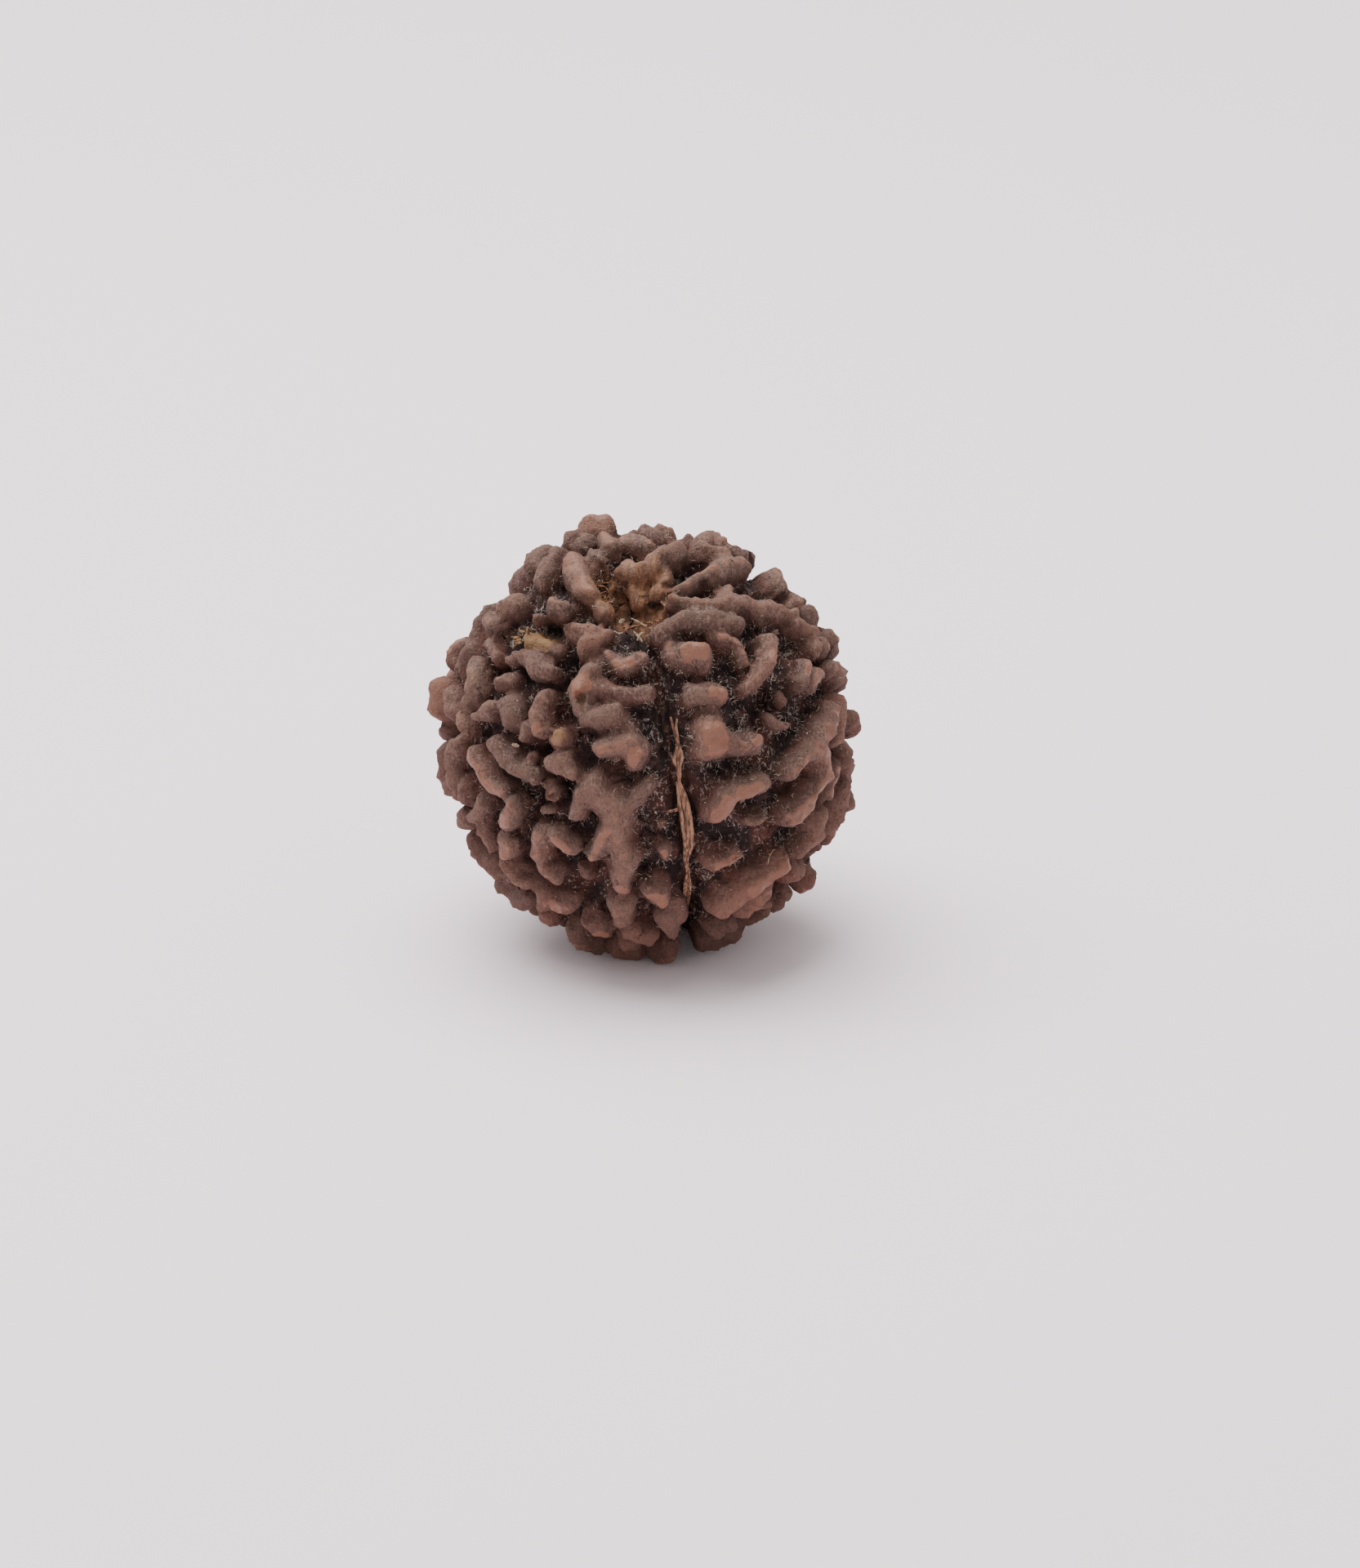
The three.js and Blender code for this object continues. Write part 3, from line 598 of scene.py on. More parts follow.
@dataclass
class StoneField:
    """The stone's fine surface, as a distance that is 0 on it and less than 0 inside.

    Args:
        form: the stone's sizes.
        lobes: every lobe that stands on it.
        top_share: a lobe's half width at its top, as a share of the one drawn.
        root_share: the same at its root.
        rounding: the roundness of a lobe's rim, as a share of its half width.
        merge: how softly two lobes run together.
        root_round: how softly a lobe rises from the floor.
        worn_round: how round the edges of the worn flats are.
        pit_round: how round the rims of the small pits are.
        near: how far past its rim a lobe still shapes the surface.
        wobble: what bends the lobes' outlines, one pattern for each direction.
        wobble_depth: how far it bends them.
        ripple: what makes the lobes' widths and tops uneven.
        ripple_share: how far it changes a width, as a share of it.
        ripple_depth: how far it changes a top's height.
        grain: the finest relief.
        grain_depth: its depth.
        lumps: the small lumps that cover the whole surface.
        lumps_depth: their depth.
        floor_ripple: the floor's unevenness.
        floor_ripple_depth: its depth.
        floor_lumps: the small lumps on the floor.
        floor_lumps_depth: their depth.
        pits: the small pits in front: right, up, how far sunk and radius.
    """

    form: StoneForm
    lobes: list[Lobe]
    top_share: float = 1.12
    root_share: float = 1.25
    rounding: float = 0.85
    merge: float = 0.26
    root_round: float = 0.45
    worn_round: float = 0.3
    pit_round: float = 0.1
    near: float = 1.3
    wobble: tuple[Ripple, ...] = (Ripple(2.2, 1), Ripple(2.2, 2), Ripple(2.2, 3))
    wobble_depth: float = 0.22
    ripple: Ripple = Ripple(1.1, 4)
    ripple_share: float = 0.17
    ripple_depth: float = 0.1
    grain: Ripple = Ripple(0.5, 5, 20)
    grain_depth: float = 0.035
    lumps: Ripple = Ripple(0.75, 8, 18)
    lumps_depth: float = 0.06
    floor_ripple: Ripple = Ripple(1.6, 6)
    floor_ripple_depth: float = 0.14
    floor_lumps: Ripple = Ripple(0.9, 7, 18)
    floor_lumps_depth: float = 0.1
    pits: tuple[tuple[float, float, float, float], ...] = (
        (-5.75, -3.2, 0.22, 0.25),
        (-5.1, 0.1, -0.12, 0.22),
        (-3.55, 2.1, -0.2, 0.3),
        (3.5, 8.5, 0.4, 0.5),
        (-4.55, 6.25, 0.0, 0.3),
    )
    _near_rows: list[Array] = field(default_factory=list)

    def segments(self) -> Iterable[tuple[int, Lobe, Array, Array, float, float]]:
        """Gives every straight stretch of crest.

        Yields:
            The lobe's number, the lobe, the stretch's two ends and the half width at each.
        """
        for number, lobe in enumerate(self.lobes):
            crest, halves = lobe.crest, lobe.halves
            if len(crest) == 1:
                normal = self.form.outwards(crest[0])
                ahead = self.form.axis - (self.form.axis @ normal) * normal
                ahead = unit(ahead) * halves[0] * 0.3
                crest = np.array([crest[0] - ahead, crest[0] + ahead])
                halves = np.array([halves[0], halves[0]])
            for i in range(len(crest) - 1):
                yield number, lobe, crest[i], crest[i + 1], halves[i], halves[i + 1]

    def prepare(self, points: Array) -> None:
        """Notes which points each stretch of crest can reach, for the calls that follow.

        Args:
            points: positions, as rows.
        """
        ways = unit(points)
        tops = ways * self.form.reach(ways)[:, None]
        self._near_rows = []
        for _, _, a, b, half_a, half_b in self.segments():
            limit = np.linalg.norm(b - a) / 2 + max(half_a, half_b) + self.near
            self._near_rows.append(
                np.nonzero(np.linalg.norm(tops - (a + b) / 2, axis=1) < limit)[0]
            )

    def core(self, points: Array) -> Array:
        """Measures from the core: the floor, its seams and the stalk hollow.

        Args:
            points: positions, as rows.

        Returns:
            The distance of each, less than 0 inside.
        """
        form = self.form
        radius = np.linalg.norm(points, axis=1)
        ways = points / radius[:, None]
        along = points @ form.axis
        across = np.sqrt(np.maximum(radius**2 - along**2, 0))
        groove = np.exp(-((form.seam_gap(points) / (form.seam_half_width * 0.75)) ** 2))
        floor = form.reach(ways, form.relief)
        floor = floor + self.floor_ripple_depth * self.floor_ripple(points)
        floor += self.floor_lumps_depth * self.floor_lumps(points)
        floor -= groove * np.minimum(form.seam_depth, across / 3)
        rim, heights = zip(*form.hollow)
        pit = (along - np.interp(across, rim, heights)) * 0.6
        pit = np.where((across < rim[-1] + 0.1) & (along > 0), pit, -FAR)
        return -smooth_min(-(radius - floor), -pit, 0.5)

    def __call__(self, points: Array) -> tuple[Array, Array, Array]:
        """Evaluates the field.

        Args:
            points: rows of positions, as many as `prepare` was given.

        Returns:
            The distance at each point, the number of the nearest lobe or -1, and how far
            from its crest the point lies, as a share of its half width.
        """
        form = self.form
        radius = np.linalg.norm(points, axis=1)
        ways = points / radius[:, None]
        reach = form.reach(ways)
        tops = ways * reach[:, None]
        shift = np.stack([wave(tops) for wave in self.wobble], axis=1) * self.wobble_depth
        tops = tops + shift
        uneven = self.ripple(tops)
        nearest = np.full(len(points), FAR)
        number_at = np.full(len(points), -1)
        across_at = np.full(len(points), FAR)
        stretches = zip(self._near_rows, self.segments())
        for rows, (number, lobe, a, b, half_a, half_b) in stretches:
            if not len(rows):
                continue
            top, way = tops[rows], ways[rows]
            line = b - a
            share = np.clip((top - a) @ line / (line @ line), 0, 1)
            gap = top - (a + share[:, None] * line)
            gap -= (gap * way).sum(axis=1)[:, None] * way
            apart = np.linalg.norm(gap, axis=1)
            half = half_a + share * (half_b - half_a)
            half = half * (1 + self.ripple_share * uneven[rows])
            height = radius[rows] - reach[rows] - lobe.rise
            depth = np.clip(-height / form.relief, 0, 1.2)
            flare = self.top_share + (self.root_share - self.top_share) * depth**1.3
            side = (apart - half * flare) * 0.95
            # A wide lobe has a rounder top than a narrow one.
            dome = (0.5 + 0.5 * np.clip(half - 0.6, 0, 0.4)) * half * (apart / half) ** 2
            over = height + dome + self.ripple_depth * uneven[rows]
            bend = self.rounding * half
            out = np.hypot(np.maximum(side + bend, 0), np.maximum(over + bend, 0))
            found = out + np.minimum(np.maximum(side, over) + bend, 0) - bend
            closer = found < nearest[rows]
            number_at[rows[closer]] = number
            across_at[rows[closer]] = (apart / half)[closer]
            nearest[rows] = smooth_min(nearest[rows], found, self.merge)
        total = smooth_min(self.core(points), nearest, self.root_round)
        total -= self.lumps_depth * self.lumps(points) + self.grain_depth * self.grain(points)
        for right, up, sunk, size in self.pits:
            away = points - form.seen_in_front(right, up, sunk)
            away = np.linalg.norm(away, axis=1) - size
            total = -smooth_min(-total, away, self.pit_round)
        ground = points[:, 2] + form.centre[2]
        return -smooth_min(-total, ground, self.worn_round), number_at, across_at


@dataclass
class LobedStone:
    """The fine stone, which stands for the plain solid.

    Args:
        form: the stone's sizes.
        plan: where its lobes stand.
        voxel: the size of the skin's faces, in millimetres.
        face_limit: the most faces that the skin may have.
        coarser: how much larger the faces get each time that the limit is passed.
        steps: how often its points are moved towards the fine surface.
        most_move: how far a point moves at most in one step.
        probe: the distance over which the surface's slope is measured.
        hull_sides: how many sides a hull has round each crest point.
        hull_root: how far below the tops' surface the hulls reach.
        hollow_edge: where the hollow's lining ends, as distances from the axis.
        seam_width: how wide the mark along a seam is.
        pit_shade_heights: the heights along the axis between which painted shade darkens the stalk
            hollow's pit.
        pit_shade_edge: where that painted shade ends, as distances from the axis.
        bald: the spots worn bare in front: right, up and radius.
        scars: the straw-coloured scars in front: right, up, how far sunk and radius.
    """

    form: StoneForm
    plan: LobePlan
    voxel: float = 0.2
    face_limit: int = 97000
    coarser: float = 1.04
    steps: int = 4
    most_move: float = 0.25
    probe: float = 0.02
    hull_sides: int = 8
    hull_root: float = 2.4
    hollow_edge: tuple[float, float] = (1.9, 3.0)
    seam_width: float = 0.7
    pit_shade_heights: tuple[float, float] = (8.8, 10.4)
    pit_shade_edge: tuple[float, float] = (1.2, 2.2)
    bald: tuple[tuple[float, float, float], ...] = (
        (2.6, 4.7, 0.9),
        (-0.5, -1.3, 0.6),
        (-5.0, -6.3, 0.8),
        (-5.2, -0.2, 0.5),
        (0.6, -9.5, 0.8),
        (4.6, -7.4, 0.8),
        (-3.8, 2.9, 0.7),
        (4.4, -4.4, 1.1),
        (5.8, -3.1, 0.9),
        (3.9, 0.1, 0.8),
        (4.1, -0.9, 0.7),
        (6.3, 0.0, 0.5),
        (6.8, -8.2, 1.1),
        (8.0, -7.4, 0.8),
        (4.2, 2.3, 0.7),
        (-1.5, -8.9, 0.5),
        (-8.2, -4.9, 0.5),
        (-2.7, -11.5, 0.6),
        (-5.4, -9.8, 0.6),
        (7.2, 4.6, 0.45),
        (9.3, -8.5, 0.6),
        (11.8, 3.4, 0.7),
        (-11.0, 5.4, 0.8),
        (-3.0, 12.7, 0.8),
        (4.0, 12.0, 0.6),
        (-6.2, 0.3, 0.4),
        (1.0, -6.8, 0.4),
        (9.2, 4.0, 0.6),
    )
    scars: tuple[tuple[float, float, float, float], ...] = (
        (-6.5, 5.6, 0.6, 1.7),
        (-5.05, 0.25, 0.0, 0.8),
    )

    def build(self) -> bpy.types.Object:
        """Models the stone, marks it for its finish and dresses it.

        Returns:
            The finished object.
        """
        lobes = self.plan.lobes()
        field_of = StoneField(self.form, lobes)
        rough = self._rough_form(field_of)
        mesh = self._even_faces(rough)
        points = np.empty(len(mesh.vertices) * 3)
        mesh.vertices.foreach_get("co", points)
        points = self._settle(points.reshape(-1, 3), field_of)
        self._mark(mesh, points, field_of)
        mesh.vertices.foreach_set("co", self.form.to_metres(points).ravel())
        mesh.update()
        mesh.shade_smooth()
        stone = bpy.data.objects.new("stone_surface", mesh)
        bpy.context.scene.collection.objects.link(stone)
        mesh.materials.append(StoneFinish().build())
        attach(stone, BODY)
        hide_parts(NODE)
        log.info("stone: %d lobes, %d faces", len(lobes), len(mesh.polygons))
        return stone

    def _rough_form(self, field_of: StoneField) -> bpy.types.Mesh:
        """Joins a plain core and a hull for each stretch of crest.

        Args:
            field_of: the fine surface that they stand for.

        Returns:
            Their mesh, from the stone's centre.
        """
        form = self.form
        bm = bmesh.new()
        bmesh.ops.create_icosphere(bm, subdivisions=6, radius=form.radius)
        points = np.array([vert.co for vert in bm.verts])
        ways = unit(points)
        rays = ways * (form.reach(ways, form.relief) - 0.1)[:, None]
        for vert, ray, gap in zip(bm.verts, rays, field_of.core(rays)):
            vert.co = Vector(ray) * (1 - max(gap, 0.0) / float(np.linalg.norm(ray)))
        for _, lobe, a, b, half_a, half_b in field_of.segments():
            verts = []
            for at, half in ((a, half_a), (b, half_b)):
                normal = form.outwards(at)
                ahead = unit(b - a)
                side = np.cross(normal, ahead)
                rings = (
                    (lobe.rise, 0.5),
                    (lobe.rise - 0.5 * half, 0.9),
                    (-self.hull_root, 1.4),
                )
                for lift, share in rings:
                    for k in range(self.hull_sides):
                        angle = FULL_TURN * k / self.hull_sides
                        spread = ahead * math.cos(angle) + side * math.sin(angle)
                        verts.append(bm.verts.new(at + normal * lift + spread * half * share))
            bmesh.ops.convex_hull(bm, input=verts)
        mesh = bpy.data.meshes.new("stone_rough")
        bm.to_mesh(mesh)
        bm.free()
        return mesh

    def _even_faces(self, rough: bpy.types.Mesh) -> bpy.types.Mesh:
        """Covers the joined hulls with one skin of small even faces.

        Args:
            rough: the mesh of the hulls.

        Returns:
            The skin's mesh.
        """
        holder = bpy.data.objects.new("stone_rough", rough)
        bpy.context.scene.collection.objects.link(holder)
        skin = holder.modifiers.new("skin", "REMESH")
        skin.mode = "VOXEL"
        skin.voxel_size = self.voxel
        while True:
            graph = bpy.context.evaluated_depsgraph_get()
            mesh = bpy.data.meshes.new_from_object(holder.evaluated_get(graph))
            log.info("skin of %.3f mm: %d faces", skin.voxel_size, len(mesh.polygons))
            if len(mesh.polygons) <= self.face_limit:
                break
            skin.voxel_size *= self.coarser
            bpy.data.meshes.remove(mesh)
        bpy.data.objects.remove(holder)
        mesh.name = "stone_surface"
        return mesh

    def _settle(self, points: Array, field_of: StoneField) -> Array:
        """Moves the skin's points onto the fine surface.

        Args:
            points: the skin's points, as rows.
            field_of: the fine surface.

        Returns:
            The moved points.
        """
        field_of.prepare(points)
        for _ in range(self.steps):
            here, _, _ = field_of(points)
            slope = np.stack(
                [
                    (field_of(points + self.probe * way)[0] - here) / self.probe
                    for way in np.eye(3)
                ],
                axis=1,
            )
            steep = np.maximum((slope * slope).sum(axis=1), 0.3)
            move = np.clip(here / steep, -self.most_move, self.most_move)
            points = points - move[:, None] * slope
        low = -self.form.centre[2]
        points[:, 2] = np.maximum(points[:, 2], low)
        return points

    def _mark(self, mesh: bpy.types.Mesh, points: Array, field_of: StoneField) -> None:
        """Writes the values that the finish reads at each point.

        Args:
            mesh: the skin, which gets the values.
            points: its points, as rows from the stone's centre.
            field_of: the fine surface, which knows the nearest lobe.
        """
        form = self.form
        _, number, share = field_of(points)
        lobes = field_of.lobes
        radius = np.linalg.norm(points, axis=1)
        ways = points / radius[:, None]
        floor = form.reach(ways, form.relief)
        height = (radius - floor) / (form.reach(ways) - floor)
        on_lobe = number >= 0
        bare = np.where(on_lobe, np.array([lobe.bare for lobe in lobes])[number], 0.0)
        for right, up, size in self.bald:
            away = np.linalg.norm(points - form.seen_in_front(right, up), axis=1)
            bare = np.maximum(bare, 1.15 * (1 - smooth_step(0.7 * size, 1.5 * size, away)))
        tone = np.where(on_lobe, np.array([lobe.tone for lobe in lobes])[number], 0.5)
        along = points @ form.axis
        across = np.sqrt(np.maximum(radius**2 - along**2, 0))
        hollow = (1 - smooth_step(*self.hollow_edge, across)) * (along > 0)
        seam = np.exp(-((form.seam_gap(points) / self.seam_width) ** 2))
        # The pit mark is painted shade: darker down the stalk hollow's pit and in the small pits.
        pit = 1 - smooth_step(*self.pit_shade_heights, along)
        pit = pit * (1 - smooth_step(*self.pit_shade_edge, across)) * (along > 0)
        for right, up, sunk, size in field_of.pits:
            away = np.linalg.norm(points - form.seen_in_front(right, up, sunk), axis=1)
            pit = np.maximum(pit, 1 - smooth_step(size * 0.9, size * 1.25, away))
        scar = np.zeros(len(points))
        for right, up, sunk, size in self.scars:
            away = np.linalg.norm(points - form.seen_in_front(right, up, sunk), axis=1)
            shade = 1 - smooth_step(size * 0.65, size, away)
            scar = np.maximum(scar, shade * (number == number[np.argmin(away)]))
        values = {
            "height": height,
            "bare": bare,
            "tone": tone,
            "hollow": hollow,
            "pit": pit,
            "seam": seam,
            "scar": scar,
            "crest": np.clip(1.2 - share, 0.0, 1.2),
            "dusty": smooth_step(-0.1, 0.75, ways @ unit(form.to_eye + 0.7 * form.axis)),
        }
        for name, value in values.items():
            layer = mesh.attributes.new(name, "FLOAT", "POINT")
            layer.data.foreach_set("value", value.astype(np.float32))


def linear(red: int, green: int, blue: int) -> Colour:
    """Turns a colour as a screen shows it into the shader's linear values.

    Args:
        red: its red part, from 0 to 255, as are the others.
        green: its green part.
        blue: its blue part.

    Returns:
        The same colour with linear parts from 0 to 1.
    """
    return tuple(
        part / 12.92 if part <= 0.04045 else ((part + 0.055) / 1.055) ** 2.4
        for part in (red / 255, green / 255, blue / 255)
    )


class Blend(Enum):
    """How one colour is laid over another."""

    OVER = "MIX"
    TIMES = "MULTIPLY"
    LIGHTER = "SCREEN"


Socket = bpy.types.NodeSocket
Value = Socket | float

# The colour sockets of a Mix node, which also has some for numbers and vectors.
MIX_UNDER, MIX_OVER, MIX_RESULT = 6, 7, 2


class ShaderSketch:
    """A material in the making, with short ways to add nodes to it."""

    def __init__(self, name: str) -> None:
        """Starts an empty material.

        Args:
            name: the material's name.
        """
        self.material = bpy.data.materials.new(name)
        self.material.use_nodes = True
        self.tree = self.material.node_tree
        self.tree.nodes.clear()
        place = self._node("ShaderNodeTexCoord")
        self.place = place.outputs["Object"]

    def _node(self, kind: str) -> bpy.types.Node:
        """Adds a node of one kind."""
        return self.tree.nodes.new(kind)

    def _set(self, socket: Socket, value: Value | Colour) -> None:
        """Links a value into a socket, or writes it there.

        Args:
            socket: the socket that gets it.
            value: another node's output, a colour or a number.
        """
        if isinstance(value, bpy.types.NodeSocket):
            self.tree.links.new(value, socket)
        elif isinstance(value, tuple):
            socket.default_value = (*value, 1.0)[: len(socket.default_value)]
        else:
            socket.default_value = value

    def mark(self, name: str) -> Socket:
        """Reads a value written on the mesh."""
        node = self._node("ShaderNodeAttribute")
        node.attribute_name = name
        return node.outputs["Fac"]

    def noise(self, size: float, detail: float = 3.0, stretch: Colour = (1.0, 1.0, 1.0)) -> Socket:
        """Adds an uneven pattern.

        Args:
            size: the size of its patches, in millimetres.
            detail: how many finer patterns lie on it.
            stretch: how much it is squeezed along each direction.

        Returns:
            The pattern's value, about 0.5 in the middle.
        """
        move = self._node("ShaderNodeMapping")
        self._set(move.inputs["Vector"], self.place)
        move.inputs["Scale"].default_value = stretch
        node = self._node("ShaderNodeTexNoise")
        self._set(node.inputs["Vector"], move.outputs["Vector"])
        node.inputs["Scale"].default_value = 1 / (size * MM)
        node.inputs["Detail"].default_value = detail
        return node.outputs["Fac"]

    def streaks(self, size: float, length: float, turn: Colour) -> Socket:
        """Adds a pattern of short crooked streaks.

        Args:
            size: how wide they are, in millimetres.
            length: how many times longer than wide.
            turn: how far their direction is turned about each axis.

        Returns:
            The pattern's value, about 0.5 in the middle.
        """
        move = self._node("ShaderNodeMapping")
        move.vector_type = "TEXTURE"
        self._set(move.inputs["Vector"], self.place)
        move.inputs["Rotation"].default_value = turn
        move.inputs["Scale"].default_value = (length, 1, 1)
        node = self._node("ShaderNodeTexNoise")
        self._set(node.inputs["Vector"], move.outputs["Vector"])
        node.inputs["Scale"].default_value = 0.5 / (size * MM)
        node.inputs["Detail"].default_value = 1.0
        node.inputs["Distortion"].default_value = 0.5
        return node.outputs["Fac"]

    def cells(self, size: float) -> Socket:
        """Adds scattered round spots.

        Args:
            size: their spacing, in millimetres.

        Returns:
            The distance from the nearest spot's middle.
        """
        node = self._node("ShaderNodeTexVoronoi")
        self._set(node.inputs["Vector"], self.place)
        node.inputs["Scale"].default_value = 1 / (size * MM)
        return node.outputs["Distance"]

    def maths(self, kind: str, a: Value, b: Value = 0.0) -> Socket:
        """Works out one sum.

        Args:
            kind: the node's name for it.
            a: the first value.
            b: the second value.

        Returns:
            The result.
        """
        node = self._node("ShaderNodeMath")
        node.operation = kind
        self._set(node.inputs[0], a)
        self._set(node.inputs[1], b)
        return node.outputs[0]

    def fade(self, value: Socket, low: float, high: float, top: float = 1.0) -> Socket:
        """Rises smoothly between two values.

        Args:
            value: what it depends on.
            low: where it is 0.
            high: where it reaches its top.
            top: the value there.

        Returns:
            The risen value.
        """
        node = self._node("ShaderNodeMapRange")
        node.interpolation_type = "SMOOTHSTEP"
        for name, setting in (("Value", value), ("From Min", low), ("From Max", high)):
            self._set(node.inputs[name], setting)
        node.inputs["To Max"].default_value = top
        return node.outputs[0]

    def ramp(self, value: Socket, stops: Iterable[tuple[float, Colour]]) -> Socket:
        """Turns a value into a colour that changes from stop to stop.

        Args:
            value: the value, from 0 to 1.
            stops: the places and colours, the first and last before those between.

        Returns:
            The colour.
        """
        node = self._node("ShaderNodeValToRGB")
        self._set(node.inputs[0], value)
        elements = node.color_ramp.elements
        for i, (at, colour) in enumerate(stops):
            element = elements[i] if i < 2 else elements.new(at)
            element.position = at
            element.color = (*colour, 1.0)
        return node.outputs[0]

    def mix(
        self, share: Value, under: Socket | Colour, over: Socket | Colour, blend: Blend = Blend.OVER
    ) -> Socket:
        """Lays one colour over another.

        Args:
            share: how strongly, from 0 to 1.
            under: the colour below.
            over: the colour laid on it.
            blend: how it is laid on.

        Returns:
            The mixed colour.
        """
        node = self._node("ShaderNodeMix")
        node.data_type = "RGBA"
        node.blend_type = blend.value
        self._set(node.inputs[0], share)
        self._set(node.inputs[MIX_UNDER], under)
        self._set(node.inputs[MIX_OVER], over)
        return node.outputs[MIX_RESULT]

    def bump(self, height: Socket, depth: float, below: Socket | None = None) -> Socket:
        """Roughens the surface.

        Args:
            height: the relief, from 0 to 1.
            depth: its depth in millimetres.
            below: a relief that it lies on.

        Returns:
            The shading normal.
        """
        node = self._node("ShaderNodeBump")
        node.inputs["Strength"].default_value = 1.0
        node.inputs["Distance"].default_value = depth * MM
        self._set(node.inputs["Height"], height)
        if below is not None:
            self._set(node.inputs["Normal"], below)
        return node.outputs[0]

    def finish(
        self, colour: Socket | Colour, roughness: Value, normal: Socket, shine: Value = 0.5
    ) -> bpy.types.Material:
        """Closes the material with its surface shader.

        Args:
            colour: the colour of the surface.
            roughness: how rough it is, from 0 to 1.
            normal: its shading normal.
            shine: how much light it mirrors, 0.5 being usual.

        Returns:
            The finished material.
        """
        shader = self._node("ShaderNodeBsdfPrincipled")
        self._set(shader.inputs["Base Color"], colour)
        self._set(shader.inputs["Roughness"], roughness)
        self._set(shader.inputs["Specular IOR Level"], shine)
        self._set(shader.inputs["Normal"], normal)
        output = self._node("ShaderNodeOutputMaterial")
        self.tree.links.new(shader.outputs[0], output.inputs["Surface"])
        return self.material


